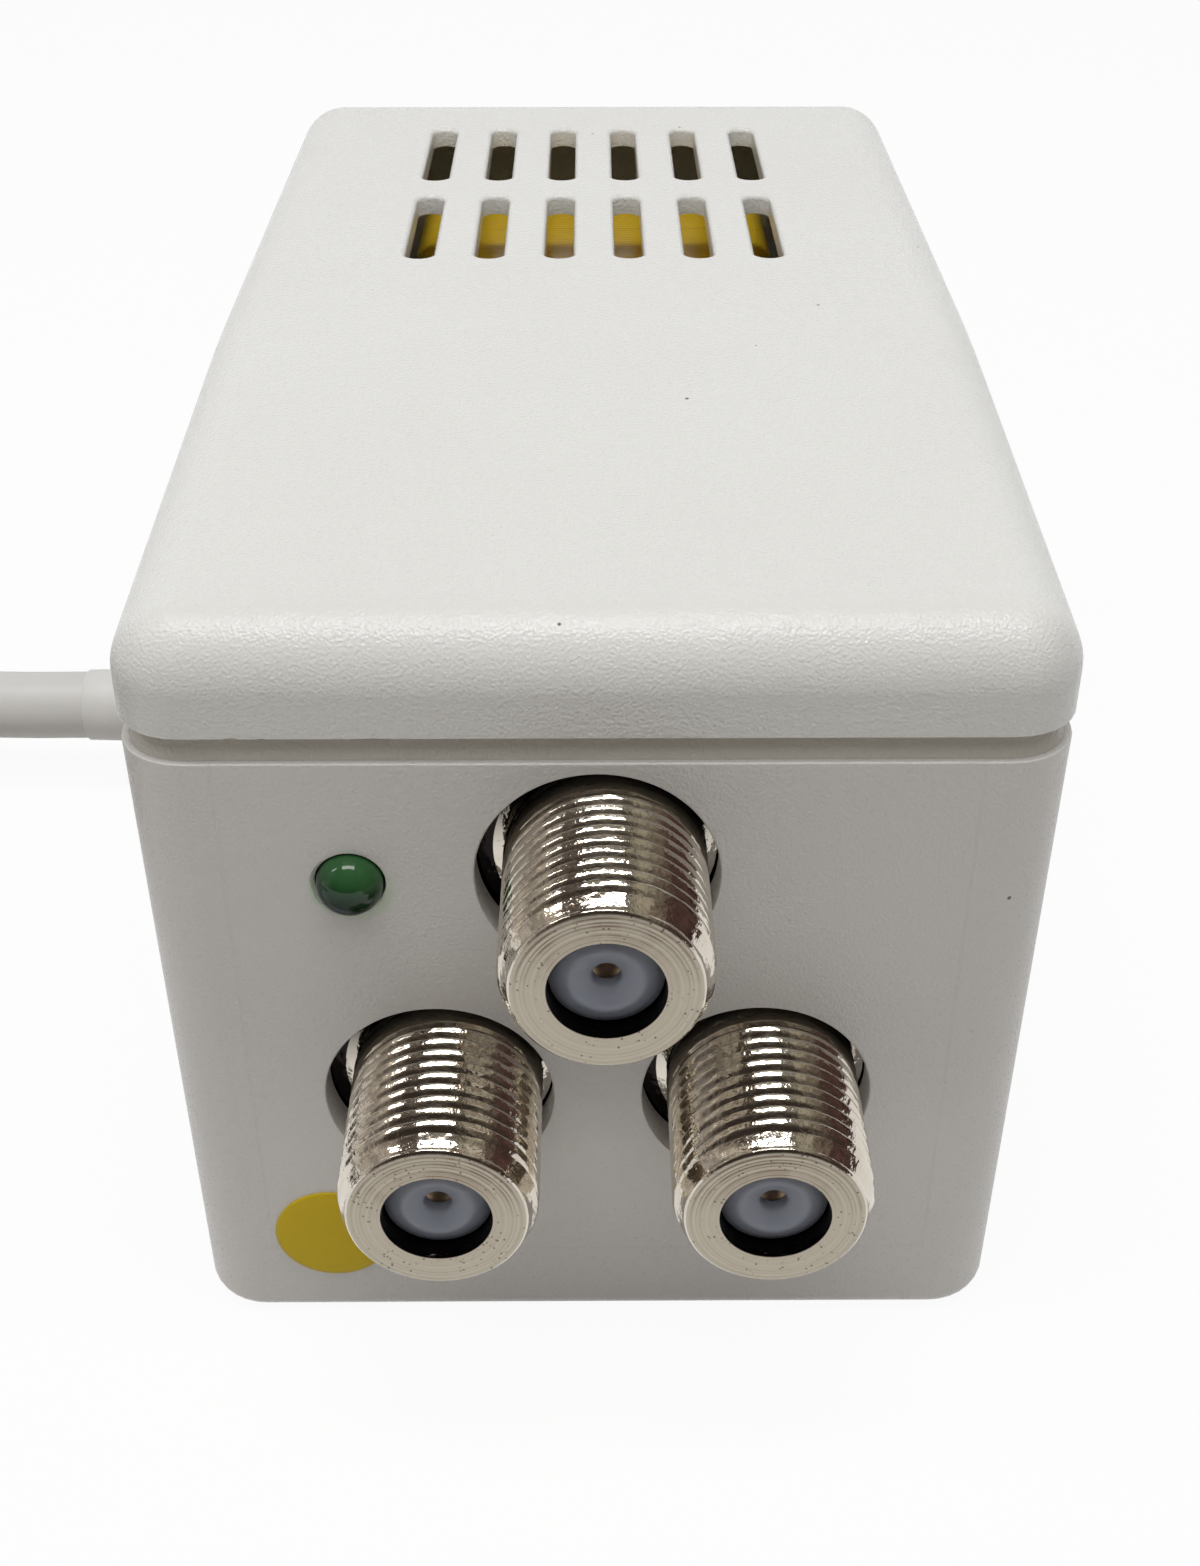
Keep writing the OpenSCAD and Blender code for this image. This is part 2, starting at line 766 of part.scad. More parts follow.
module board_screws() {
  color("silver")
    for (s = [-1, 1])
      translate([s * post_x, post_y, pb_top])
        difference() {
          union() {
            cylinder(d = screw_head_d, h = screw_head_h);
            translate([0, 0, 0.2 - pcb_t - pilot_l]) cylinder(d = screw_d, h = pcb_t + pilot_l);
          }
          for (turn = [0, 90])
            rotate([0, 0, turn]) translate([-1.2, -0.25, screw_head_h - 0.8]) cube([2.4, 0.5, 2]);
        }
}

module transformer_core() {
  color("slategray")
    translate([0, core_y, core_z])
      difference() {
        cube([core_w, core_l, core_h], center = true);
        for (s = [-1, 1])
          translate([s * (leg + window) / 2, 0, 0])
            cube([window, window_l, core_h + 2], center = true);
      }
}

module transformer_bobbin() {
  color("ivory")
    translate([0, core_y, core_z])
      difference() {
        union() {
          for (s = [-1, 1])
            translate([0, s * (bobbin_y - bobbin_t / 2), -bobbin_foot / 2])
              cube([2 * bobbin_half_x, bobbin_t, bobbin_h + bobbin_foot], center = true);
          cube([2 * tube_x, 2 * bobbin_y, 2 * tube_z], center = true);
        }
        cube([leg + 2 * slide, core_l, core_h + 2 * slide], center = true);
      }
}

// The winding under its wrap of yellow tape
module winding_tape() {
  tape_r = 1.6;
  length = 2 * (bobbin_y - bobbin_t - slide);
  color("gold")
    translate([0, core_y, core_z])
      rotate([90, 0, 0])
        linear_extrude(length, center = true)
          difference() {
            round_rect(2 * (bobbin_half_x - tape_in), bobbin_h - 2 * tape_in, tape_r);
            square([2 * (tube_x + seat), 2 * (tube_z + seat)], center = true);
          }
}

module transformer_pins() {
  color("silver")
    for (s = [-1, 1], x = trafo_pin_xs)
      translate([x, core_y + s * (bobbin_y - bobbin_t / 2), pb_top - trafo_pin_l])
        cylinder(d = trafo_pin_d, h = trafo_pin_l);
}

// A part with wire ends, lying along Y on the supply board
module axial_part(at, d, l, span) {
  z = d / 2 + board_fit;
  translate([at[0], at[1], pb_top]) {
    translate([0, 0, z]) rotate([90, 0, 0]) cylinder(d = d, h = l, center = true);
    translate([0, 0, z]) rotate([90, 0, 0]) cylinder(d = axial_wire_d, h = span, center = true);
    for (s = [-1, 1]) {
      translate([0, s * span / 2, z]) sphere(d = axial_wire_d);
      translate([0, s * span / 2, 0]) cylinder(d = axial_wire_d, h = z);
    }
  }
}

module rectifier_diodes() {
  color("black")
    for (i = [0 : 3])
      axial_part([diode_x + diode_pitch * i, tongue_front - diode_back], diode_d, diode_l, diode_span);
}

module mains_fuse() {
  color("beige")
    axial_part([-pb_half + fuse_side, tongue_front - fuse_back], fuse_d, fuse_l, diode_span);
}

// Upright can with a crimped foot
module can(d, h) {
  groove = 0.4;
  rotate_extrude()
    polygon([
      [0, 0], [d / 2 - 0.3, 0], [d / 2, 0.3], [d / 2, 1.4], [d / 2 - groove, 1.8], [d / 2, 2.2],
      [d / 2, h - 0.4], [d / 2 - 0.4, h], [d / 2 - 0.9, h], [d / 2 - 1.1, h - 0.25], [0, h - 0.25]
    ]);
}

module smoothing_capacitor() {
  color("midnightblue") translate([cap_x, tongue_front - cap_back, pb_top]) can(cap_d, cap_h);
}

module output_capacitor() {
  color("midnightblue")
    translate([small_cap_x, pb_front + small_cap_front, pb_top]) can(small_cap_d, small_cap_h);
}

// Regulator standing on its three legs, with its metal tab at the back
module voltage_regulator() {
  translate([reg_x, pb_front + reg_front, pb_top]) {
    color("black") translate([-reg_size[0] / 2, -reg_size[1], reg_legs]) cube(reg_size);
    color("silver")
      difference() {
        translate([-reg_tab[0] / 2, 0, reg_legs]) cube(reg_tab);
        translate([0, -1, reg_legs + reg_hole_h])
          rotate([-90, 0, 0]) cylinder(d = reg_hole_d, h = reg_tab[1] + 2);
      }
    color("silver")
      for (i = [-1, 0, 1])
        translate([reg_leg_gap * i - reg_leg[0] / 2, -reg_size[1] / 2, 0])
          cube([reg_leg[0], reg_leg[1], reg_legs + eps]);
  }
}

module ceramic_capacitors() {
  color("orange")
    for (at = disc_ats)
      translate([at[0], at[1], pb_top]) {
        translate([0, 0, disc_lift + disc_d / 2])
          rotate([90, 0, 0]) cylinder(d = disc_d, h = disc_t, center = true);
        for (s = [-1, 1])
          translate([s * disc_leg_gap / 2, 0, 0]) cylinder(d = disc_leg_d, h = disc_lift + disc_d / 2);
      }
}

// Wire from the strain relief, round into its lane and forward, up onto the board
module mains_wire(from_y, lane) {
  x0 = wire_start + wire_out;
  r = lane - x0;
  over = pb_top + 1.6;
  tube(concat(
    [[wire_start, from_y, bush_z]],
    [for (a = [0 : 22.5 : 90]) [x0 + r * sin(a), from_y - r * (1 - cos(a)), bush_z]],
    [[lane, tongue_front + 3.6, bush_z], [lane, tongue_front + 2.2, bush_z + 0.8],
     [lane, tongue_front + 0.9, pb_top + 0.4], [lane, tongue_front - 0.6, over],
     [lane, wire_land_y + 1.6, over + 0.3], [lane, wire_land_y + 0.5, over - 0.2],
     [lane, wire_land_y, pb_top + 0.7], [lane, wire_land_y, pb_top]]
  ), wire_d, 8, [0, 0, 1]);
}

module live_wire() {
  color("saddlebrown") mains_wire(bush_y - wire_gap / 2, live_lane);
}

module neutral_wire() {
  color("royalblue") mains_wire(bush_y + wire_gap / 2, neutral_lane);
}

// Wire from the supply board up to the amplifier board
module supply_wire(x) {
  bulge = supply_y + 2.6;
  tube([
    [x, supply_y, pb_top], [x, supply_y, pb_top + 0.8], [x, supply_y + 0.4, pb_top + 2.4],
    [x, bulge - 1.2, pb_top + 4], [x, bulge - 1, supply_z - 4], [x, supply_y + 0.2, supply_z - 1.4],
    [x, rf_back + 1.6, supply_z], [x, rf_back, supply_z]
  ], wire_d, 8, [1, 0, 0]);
}

module red_supply_wire() {
  color("firebrick") supply_wire(supply_x - supply_gap);
}

module black_supply_wire() {
  color("black") supply_wire(supply_x);
}

// Moulded strain relief: collar inside, neck in the wall, flange and tapered boot outside
module cord_bush() {
  neck = bush_neck_d / 2;
  groove = 0.5;
  tip = cord_d / 2 + 0.6;
  base = neck + 0.2;
  boot_start = seat + bush_flange_t;
  boot_l = boot_out - boot_start;
  rings = 5;
  boot = [
    for (i = [0 : rings - 1], k = [0 : 3])
      let (u = (i + [0, 0.55, 0.6, 0.95][k]) / rings)
        [base + (tip - base) * u - (k > 1 ? groove : 0), boot_start + boot_l * u]
  ];
  profile = concat(
    [[0, -bush_in], [bush_collar_d / 2, -bush_in], [bush_collar_d / 2, -wall - seat],
     [neck, -wall - seat], [neck, seat], [bush_flange_d / 2, seat],
     [bush_flange_d / 2, boot_start]],
    boot,
    [[tip, boot_out], [0, boot_out]]
  );
  color("white")
    translate([-bush_x, bush_y, bush_z]) rotate([0, -90, 0]) rotate_extrude() polygon(profile);
}

function lead_points() = [
  for (q = lead_route)
    [cord_exit[0] + q[0], cord_exit[1] + q[1], bush_z + (coil_low - bush_z) * q[2]]
];

module mains_cord() {
  color("white") tube(lead_points(), cord_d, lead_sides, [0, 0, 1]);
}

// A point of the coil, from -coil_turns at its start to coil_turns at its end
function coil_point(t) =
  let (r = coil_in + coil_step * abs(t), a = coil_start_deg + 360 * (t + coil_turns),
       up = smooth((t + 0.25) / 0.5))
    coil_at + [r * cos(a), r * sin(a), coil_low + (coil_high - coil_low) * up];

function coil_points() =
  let (n = round(2 * coil_turns * coil_rings), end = coil_point(coil_turns))
    concat(
      [coil_start, coil_start - [cord_d * 0.5, 0, 0]],
      [for (i = [0 : n]) coil_point(-coil_turns + 2 * coil_turns * i / n)],
      [for (q = tail_route) [end[0], end[1] - q[0], end[2] + (plug_z - end[2]) * q[1]]]
    );

function path_l(p) =
  len(p) < 2 ? 0 :
  [for (i = [1 : len(p) - 1]) norm(p[i] - p[i - 1])] * [for (i = [1 : len(p) - 1]) 1];

module cord_coil() {
  p = coil_points();
  // Points of one turn or more apart along the coil are the only ones that can come near
  apart = round(coil_rings / 2);
  gaps = [
    for (i = [0 : len(p) - 1], k = [i + apart : 1 : len(p) - 1]) norm(p[i] - p[k]) - cord_d
  ];
  echo(least_gap_in_coil = min(gaps));
  echo(cord_length = path_l(lead_points()) + path_l(p));
  color("white") tube(p, cord_d, coil_sides, [0, 0, 1]);
}

// Strap round all the turns of the coil
module coil_tie() {
  far = coil_in + coil_step * (coil_turns - tie_turn) + cord_d / 2 + tie_fit;
  near = coil_in + coil_step * ((coil_turns - tie_turn) % 1) - cord_d / 2 - tie_fit;
  low = coil_low - cord_d / 2 - 0.2;
  high = coil_high + cord_d / 2 + 0.2;
  color("black")
    translate(coil_at) rotate([0, 0, coil_start_deg + 360 * tie_turn])
      difference() {
        translate([near - tie_t, -tie_w / 2, low - tie_t])
          cube([far - near + 2 * tie_t, tie_w, high - low + 2 * tie_t]);
        translate([near, -tie_w, low]) cube([far - near, 2 * tie_w, high - low]);
      }
}

// Flat two-pin plug: boot, then a body that widens to its face
module plug_body() {
  neck_r = cord_d / 2 + 2.4;
  edge = 3;
  color("white") translate(plug_at) {
    rotate([90, 0, 0]) cylinder(r1 = cord_d / 2 + 0.7, r2 = neck_r, h = plug_boot);
    hull() {
      translate([0, -plug_boot + 0.5, 0]) rotate([90, 0, 0]) cylinder(r = neck_r, h = eps);
      for (sx = [-1, 1], sz = [-1, 1])
        translate([sx * (plug_w / 2 - edge), -plug_boot - plug_l * 0.55, sz * (plug_t / 2 - edge)])
          rotate([90, 0, 0]) cylinder(r = edge, h = plug_l * 0.45);
    }
  }
}

module plug_pins() {
  color("silver")
    for (s = [-1, 1])
      translate(plug_at + [s * pin_gap / 2, -plug_boot - plug_l, 0])
        rotate([90, 0, 0]) {
          cylinder(d = pin_d, h = pin_l - pin_d / 2);
          translate([0, 0, pin_l - pin_d / 2]) sphere(d = pin_d);
        }
}

module placed() {
  translate([0, front_y, 0]) children();
}

placed() base_case();
placed() top_cover();
placed() front_sticker();
placed() rf_board();
placed() connector_shell(input_at);  // input_connector_shell
placed() connector_shell(left_at);  // left_output_shell
placed() connector_shell(right_at);  // right_output_shell
placed() connector_insulator(input_at);  // input_insulator
placed() connector_insulator(left_at);  // left_output_insulator
placed() connector_insulator(right_at);  // right_output_insulator
placed() connector_contact(input_at);  // input_contact
placed() connector_contact(left_at);  // left_output_contact
placed() connector_contact(right_at);  // right_output_contact
placed() power_led();
placed() led_leads();
placed() rf_transistors();
placed() splitter_core();
placed() splitter_wire();
placed() rf_chip_capacitors();
placed() rf_chip_resistors();
placed() rf_choke();
placed() power_board();
placed() board_screws();
placed() transformer_core();
placed() transformer_bobbin();
placed() winding_tape();
placed() transformer_pins();
placed() rectifier_diodes();
placed() mains_fuse();
placed() smoothing_capacitor();
placed() output_capacitor();
placed() voltage_regulator();
placed() ceramic_capacitors();
placed() live_wire();
placed() neutral_wire();
placed() red_supply_wire();
placed() black_supply_wire();
placed() cord_bush();
placed() mains_cord();
placed() cord_coil();
placed() coil_tie();
placed() plug_body();
placed() plug_pins();
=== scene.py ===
# Looks of an aerial signal amplifier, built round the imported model.
# Shapes are written in millimetres, +Z up and the front towards -Y; MM turns them into metres.
import math

import bmesh
import bpy
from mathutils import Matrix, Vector


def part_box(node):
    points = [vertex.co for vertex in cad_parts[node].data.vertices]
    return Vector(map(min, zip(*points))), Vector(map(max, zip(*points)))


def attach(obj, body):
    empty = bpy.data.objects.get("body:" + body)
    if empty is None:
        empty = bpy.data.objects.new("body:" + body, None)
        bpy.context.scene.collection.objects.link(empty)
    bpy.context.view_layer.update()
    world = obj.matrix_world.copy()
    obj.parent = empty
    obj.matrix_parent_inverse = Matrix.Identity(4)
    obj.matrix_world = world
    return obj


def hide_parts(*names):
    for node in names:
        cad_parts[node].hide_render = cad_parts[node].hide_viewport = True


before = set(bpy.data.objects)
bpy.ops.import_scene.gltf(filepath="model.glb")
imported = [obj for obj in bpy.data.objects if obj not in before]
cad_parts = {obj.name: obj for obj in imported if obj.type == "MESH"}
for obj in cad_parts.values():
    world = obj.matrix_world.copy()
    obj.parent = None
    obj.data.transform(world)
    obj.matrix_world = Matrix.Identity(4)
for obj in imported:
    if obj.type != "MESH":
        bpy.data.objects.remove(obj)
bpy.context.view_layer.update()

MM = 0.001

# Case and cover, as in the part's source; y counts back from the front of the rim
FRONT_Y = -35.0
BODY_W = 42.8
BODY_D = 78.0
RIM_H = 35.5
WALL = 2.0
LEAN = math.tan(math.radians(0.57))
CORNER_R = 3.2
FOOT_R = 1.2
COVER_EDGE = 36.8
COVER_TOP = 43.88
ROOF = 1.2
FRONT_DROP = 1.8
BEND_D = 33.0
EDGE_R = 3.2
GAP_IN = 0.55
LIP_BOTTOM = 32.5
LIP_IN = 2.2
LIP_T = 1.2
LEDGE_TOP = 37.1
SLOT_L = 12.0
SLOT_W = 1.7
SLOT_PITCH = 4.17
SLOT_ROWS = (48.0, 63.4)
SLOTS_IN_ROW = 6

# Sockets, lamp and sticker, as in the part's source
THREAD_R = 4.725
THREAD_PITCH = 0.794
THREAD_CUT = 0.4
BORE_R = 2.57
INSUL_IN = 0.7
CONTACT_S = 1.75
CONTACT_R = 0.75
TAIL_R = 0.4
CONN_OUT = 8.0
CONN_OFF = 0.35
CONN_TOP = 29.26
CONN_LOW = 15.75
CONN_X = 7.8
CONNECTORS = {
    "input": (0.0, CONN_TOP),
    "left_output": (-CONN_X, CONN_LOW),
    "right_output": (CONN_X, CONN_LOW),
}
HOLE_R = 5.625
FLANGE_R = 6.3
FLANGE_S = 10.403
SHELL_L = 12.403
LEG_R = 5.3
LED_R = 1.55
LED_X = -11.3
LED_Z = CONN_TOP - 0.25
LED_OUT = 1.4
LED_BASE = 3.403
STICKER_AT = (-13.8, 6.1)
STICKER_R = 3.0
STICKER_T = 0.15

# Boards and what holds them, as in the part's source
RF_Y = 4.403
RF_BACK = 6.003
RF_HALF = 17.467
RF_Z = 3.0
RIB_T = 1.2
RIB_BITE = 0.9
RIB_TOP = 32.1
BOARD_FIT = 0.15
PB_Z = 7.0
PB_TOP = 8.6
PB_FRONT = 9.003
POST_R = 2.7
POST_X = 14.2165
POST_Y = 13.003
PEG_R = 1.1
PEG_X = 7.5
PEG_Y = 72.3165
CORE_Y = 59.2
TONGUE_FRONT = 43.7
DIODE_Y = TONGUE_FRONT - 9.0
FUSE_Y = TONGUE_FRONT - 13.0

# Strain relief, cord and plug, as in the part's source
BUSH_Y = 53.0
BUSH_Z = 6.2
BUSH_X = 21.1085
BUSH_HOLE_R = 3.8
BOOT_OUT = 16.5
CORD_R = 2.5
COIL_LOW = 3.7
COIL_HIGH = 9.2
COIL_IN = 20.0
COIL_STEP = 5.5
COIL_TURNS = 3.125
TIE_T = 0.9
TIE_W = 6.0
TIE_TURN = 0.625
PLUG_W = 33.0
PLUG_T = 14.0
PLUG_L = 30.0
PLUG_BOOT = 14.0
PIN_R = 2.0
PIN_L = 19.0
PIN_GAP = 19.0

# Detail that only the looks have
BEND_BLEND = 4.0
SLOT_FLARE = 0.3
ROOF_R = 0.6
HOLE_DEEP = 4.0
LAMP_FIT = 0.08
LAMP_SEAT = (LED_X - 0.1, LED_Z - 0.17)
INSERT_X = 17.0
INSERT_Z = 4.95
FLAT_R = 5.2
THREAD_DEEP = 0.40
THREAD_START = 0.25
THREAD_FROM = 0.5
THREAD_RUN_IN = 0.6
THREAD_END = FLANGE_S - 0.35
RINGS_IN_PITCH = 14
# One pitch of the thread: share of the pitch and share of the depth below the crest
RIDGE = ((0.0, 1.0), (0.4, 0.27), (0.68, 0.02), (0.78, 0.0), (0.95, 1.0), (1.0, 1.0))
# The barrel before its thread is cut: distance from the face and radius
BLANK = (
    (0.0, 4.03), (0.04, 4.13), (0.14, 4.24), (0.3, 4.27), (0.62, 4.42), (1.0, 4.64), (1.2, THREAD_R),
)
# Nicks worn into the cover's lower front edge: place across, half length and depth
NICKS = ((-15.9, 0.5, 0.15), (-14.6, 0.35, 0.1), (-9.8, 1.7, 0.08), (-17.2, 0.25, 0.08))
# Places along the cover where its rings have a point on each side, close together at the bend
BEND_STOPS = [BEND_D - BEND_BLEND + k for k in range(9)]
COVER_STOPS = [6.0, 12.0, 18.0, 24.0, 28.0] + BEND_STOPS + [39.0, 55.7, 71.0]

# The camera fitted to the photograph, in pixels, millimetres and degrees
FRAME_TALL = 1566
FOCAL_LENGTH = 1952
CAMERA_AT = (-0.29, -106.42, 82.30)
CAMERA_DOWN = 33.79
CAMERA_TURN = -0.32


def half_w(z):
    """Half the width of the base at height z."""
    return BODY_W / 2 - LEAN * (RIM_H - z)


def face_y(z):
    """Where the base's front face lies at height z, behind the front of its rim."""
    return LEAN * (RIM_H - z)


def ease(t):
    """Smooth step from 0 to 1."""
    t = min(max(t, 0.0), 1.0)
    return t * t * (3 - 2 * t)


def quarter(steps):
    """Sines and cosines from 0 to 90 degrees."""
    turns = [math.radians(90 * k / steps) for k in range(steps + 1)]
    return [(math.sin(a), math.cos(a)) for a in turns]


def between(stops, at):
    """Value at a place along a line through stops, each a place and a value."""
    for (p0, v0), (p1, v1) in zip(stops, stops[1:]):
        if at <= p1:
            return v0 + (v1 - v0) * (at - p0) / (p1 - p0)
    return stops[-1][1]


# Meshes


class Shape:
    """Points in millimetres and faces, each face with the number of its material."""

    def __init__(self):
        self.points = []
        self.faces = []
        self.marks = []

    def ring(self, points):
        start = len(self.points)
        self.points.extend(points)
        return list(range(start, len(self.points)))

    def face(self, indices, mark=0):
        self.faces.append(list(indices))
        self.marks.append(mark)

    def bridge(self, a, b, mark=0):
        """Walls between two closed rings; a ring of one point is a pole."""
        count = max(len(a), len(b))
        for k in range(count):
            j = (k + 1) % count
            if len(a) == 1:
                self.face([a[0], b[j], b[k]], mark)
            elif len(b) == 1:
                self.face([a[k], a[j], b[0]], mark)
            else:
                self.face([a[k], a[j], b[j], b[k]], mark)

    def skin(self, rings, marks=None, closed=False):
        """Joins rings one after the other, and the last to the first where closed."""
        for i in range(len(rings) - 1):
            self.bridge(rings[i], rings[i + 1], marks[i] if marks else 0)
        if closed:
            self.bridge(rings[-1], rings[0])

    def solid(self, rings):
        """Joins rings and closes both ends with a flat face."""
        self.skin(rings)
        self.face(rings[0])
        self.face(rings[-1])

    def strips(self, ring):
        """Closes a ring that is the same left and right with strips from side to side."""
        last = len(ring) - 1
        for i in range(len(ring) // 2 - 1):
            self.face([ring[i], ring[i + 1], ring[last - i - 1], ring[last - i]])


def mesh_object(name, shape, sharp=35.0):
    """A mesh of a Shape, placed in the part's frame, its edges sharp above an angle."""
    mesh = bpy.data.meshes.new(name)
    points = [(x * MM, (y + FRONT_Y) * MM, z * MM) for x, y, z in shape.points]
    mesh.from_pydata(points, [], shape.faces)
    mesh.polygons.foreach_set("material_index", shape.marks)
    work = bmesh.new()
    work.from_mesh(mesh)
    bmesh.ops.recalc_face_normals(work, faces=work.faces)
    work.to_mesh(mesh)
    work.free()
    soften(mesh, sharp)
    return link(name, mesh)


def link(name, data):
    """A new object of the scene that shows some data."""
    made = bpy.data.objects.new(name, data)
    bpy.context.scene.collection.objects.link(made)
    return made


def soften(mesh, sharp):
    mesh.shade_smooth()
    mesh.set_sharp_from_angle(angle=math.radians(sharp))


def combine(body, tools, operation):
    """Joins tools to a body, or cuts them out of it, and removes the tools."""
    for tool in tools:
        step = body.modifiers.new("combine", "BOOLEAN")
        step.operation = operation
        step.solver = "EXACT"
        step.object = tool
    bpy.context.view_layer.update()
    seen = body.evaluated_get(bpy.context.evaluated_depsgraph_get())
    mesh = bpy.data.meshes.new_from_object(seen)
    body.modifiers.clear()
    old = body.data
    body.data = mesh
    mesh.name = body.name
    bpy.data.meshes.remove(old)
    for tool in tools:
        bpy.data.objects.remove(tool)


def add_piece(name, shape, sharp, slot, node, *materials):
    """A piece on the case that stands for one node."""
    return finish_piece(mesh_object(name, shape, sharp), materials, "case", [node])


def finish_piece(made, materials, body, nodes, flat=False):
    """Gives a piece its materials, body and the nodes it stands for."""
    made.data.materials.clear()
    for material in materials:
        made.data.materials.append(material)
    if flat:
        keep = made.modifiers.new("flat_faces", "WEIGHTED_NORMAL")
        keep.keep_sharp = True
    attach(made, body)
    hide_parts(*nodes)
    return made


def plan_ring(x, y0, y1, r, stops=(), arc=8):
    """Round-cornered rectangle, up the left side from the front and back down the right."""
    left = [(-x + r - r * sin, y0 + r - r * cos) for sin, cos in quarter(arc)]
    left += [(-x, y) for y in stops]
    left += [(-x + r - r * cos, y1 - r + r * sin) for sin, cos in quarter(arc)]
    return left + [(-px, py) for px, py in reversed(left)]


def turned(profile, place, turns, shape=None, marks=None, closed=False):
    """Revolves (radius, distance) points; place(radius, angle, distance) gives a point."""
    shape = shape or Shape()
    rings = []
    for r, s in profile:
        if r == 0:
            rings.append(shape.ring([place(0, 0, s)]))
        else:
            rings.append(shape.ring([place(r, 2 * math.pi * k / turns, s) for k in range(turns)]))
    shape.skin(rings, marks, closed)
    return shape


def along_x(x, y, z, way=1):
    """Places turned points on an axis that runs right from (x, y, z), or left where way is -1."""
    return lambda r, a, s: (x + way * s, y + r * math.cos(a), z + r * math.sin(a))


def along_y(x, y, z):
    """Places turned points on an axis that runs back from (x, y, z)."""
    return lambda r, a, s: (x + r * math.sin(a), y + s, z + r * math.cos(a))


def along_z(x, y, z):
    """Places turned points on an axis that runs up from (x, y, z)."""
    return lambda r, a, s: (x + r * math.cos(a), y + r * math.sin(a), z + s)


def block_tool(name, x0, x1, y0, y1, z0, z1):
    shape = Shape()
    corners = ((x0, y0), (x1, y0), (x1, y1), (x0, y1))
    shape.solid([shape.ring([(x, y, z) for x, y in corners]) for z in (z0, z1)])
    return mesh_object(name, shape)


def turned_tool(name, profile, place, turns):
    return mesh_object(name, turned(profile, place, turns))


# Materials


class Nodes:
    """Short ways to add nodes to a tree; a value is a number, a colour or another node's output."""

    def __init__(self, tree):
        self.tree = tree

    def put(self, socket, value):
        if isinstance(value, bpy.types.NodeSocket):
            self.tree.links.new(value, socket)
        elif isinstance(value, tuple) and socket.type == "RGBA":
            socket.default_value = (*value, 1)
        else:
            socket.default_value = value

    def outputs(self, kind, inputs=(), **settings):
        """Adds a node with its settings and inputs, and gives its outputs."""
        made = self.tree.nodes.new("ShaderNode" + kind)
        for key, value in settings.items():
            setattr(made, key, value)
        for key, value in dict(inputs).items():
            self.put(made.inputs[key], value)
        return made.outputs

    def node(self, kind, inputs=(), output=0, **settings):
        return self.outputs(kind, inputs, **settings)[output]

    def math(self, operation, a, b=0.0):
        return self.node("Math", {0: a, 1: b}, operation=operation)

    def times(self, a, b):
        return self.math("MULTIPLY", a, b)

    def most(self, a, b):
        return self.math("MAXIMUM", a, b)

    def step(self, value, low, high):
        """0 below low, 1 above high, smooth between; either way round."""
        ends = {"Value": value, "From Min": low, "From Max": high}
        return self.node("MapRange", ends, interpolation_type="SMOOTHSTEP")

    def span(self, value, low, high, start=0.0, end=1.0):
        """From low to high as the value goes from start to end."""
        ends = {"Value": value, "From Min": start, "From Max": end, "To Min": low, "To Max": high}
        return self.node("MapRange", ends)

    def blend(self, share, a, b):
        """Mix of two shaders."""
        return self.node("MixShader", {0: share, 1: a, 2: b})


class Look(Nodes):
    """Node material whose patterns are written in millimetres of the part's own frame."""

    def __init__(self, name, **values):
        self.material = bpy.data.materials.new(name)
        self.material.use_nodes = True
        super().__init__(self.material.node_tree)
        self.shader = self.tree.nodes["Principled BSDF"]
        self.done(**values)
        place = self.node("TexCoord", output="Object")
        self.place = self.node("VectorMath", {0: place, "Scale": 1 / MM}, operation="SCALE")
        # y counts back from the front of the rim, as it does in the shapes
        self.x, back, self.z = self.outputs("SeparateXYZ", {0: self.place})
        self.y = self.math("SUBTRACT", back, FRONT_Y)

    def done(self, **values):
        """Sets values on the shader, such as roughness=0.4, and gives the material."""
        for key, value in values.items():
            name = key.replace("_", " ").title().replace("Ior", "IOR")
            self.put(self.shader.inputs[name], value)
        return self.material

    def noise(self, scale, detail=2.0, stretch=None):
        place = self.place
        if stretch:
            place = self.node("VectorMath", {0: place, 1: stretch}, operation="MULTIPLY")
        return self.node("TexNoise", {"Vector": place, "Scale": scale, "Detail": detail})

    def cells(self, scale, **settings):
        return self.node("TexVoronoi", {"Vector": self.place, "Scale": scale}, "Distance", **settings)

    def mix(self, share, a, b):
        """Mix of two colours."""
        return self.node("Mix", {"Factor": share, 6: a, 7: b}, 2, data_type="RGBA")

    def off(self, value, middle):
        """How far a value is from a middle, either way."""
        return self.math("ABSOLUTE", self.math("SUBTRACT", value, middle))

    def reach(self, first, second, at):
        """Distance from an axis through at, across two of x, y and z."""
        a = self.math("SUBTRACT", first, at[0])
        b = self.math("SUBTRACT", second, at[1])
        return self.math("SQRT", self.math("ADD", self.times(a, a), self.times(b, b)))

    def waves(self, value, rate):
        return self.math("SINE", self.times(value, rate))

    def bump(self, height, depth, under=None):
        inputs = {"Height": height, "Distance": depth * MM, "Strength": 1.0}
        if under is not None:
            inputs["Normal"] = under
        return self.node("Bump", inputs)

    def surface(self, tint, rough, bump, **values):
        """Sets the colour, the roughness (a pattern, its least and its most) and what bump takes."""
        rough, normal = self.span(*rough), self.bump(*bump)
        return self.done(base_color=tint, roughness=rough, normal=normal, **values)


def plastic(name, light, dark, grain=3.0, depth=0.012, rough=(0.38, 0.5), **values):
    """Moulded plastic: slow changes of tint, a fine grain and roughness that follows it."""
    look = Look(name, **values)
    fine = look.noise(grain, 3.0)
    tint = look.mix(look.noise(0.12, 4.0), dark, light)
    return look.surface(tint, (fine, *rough), (fine, depth))


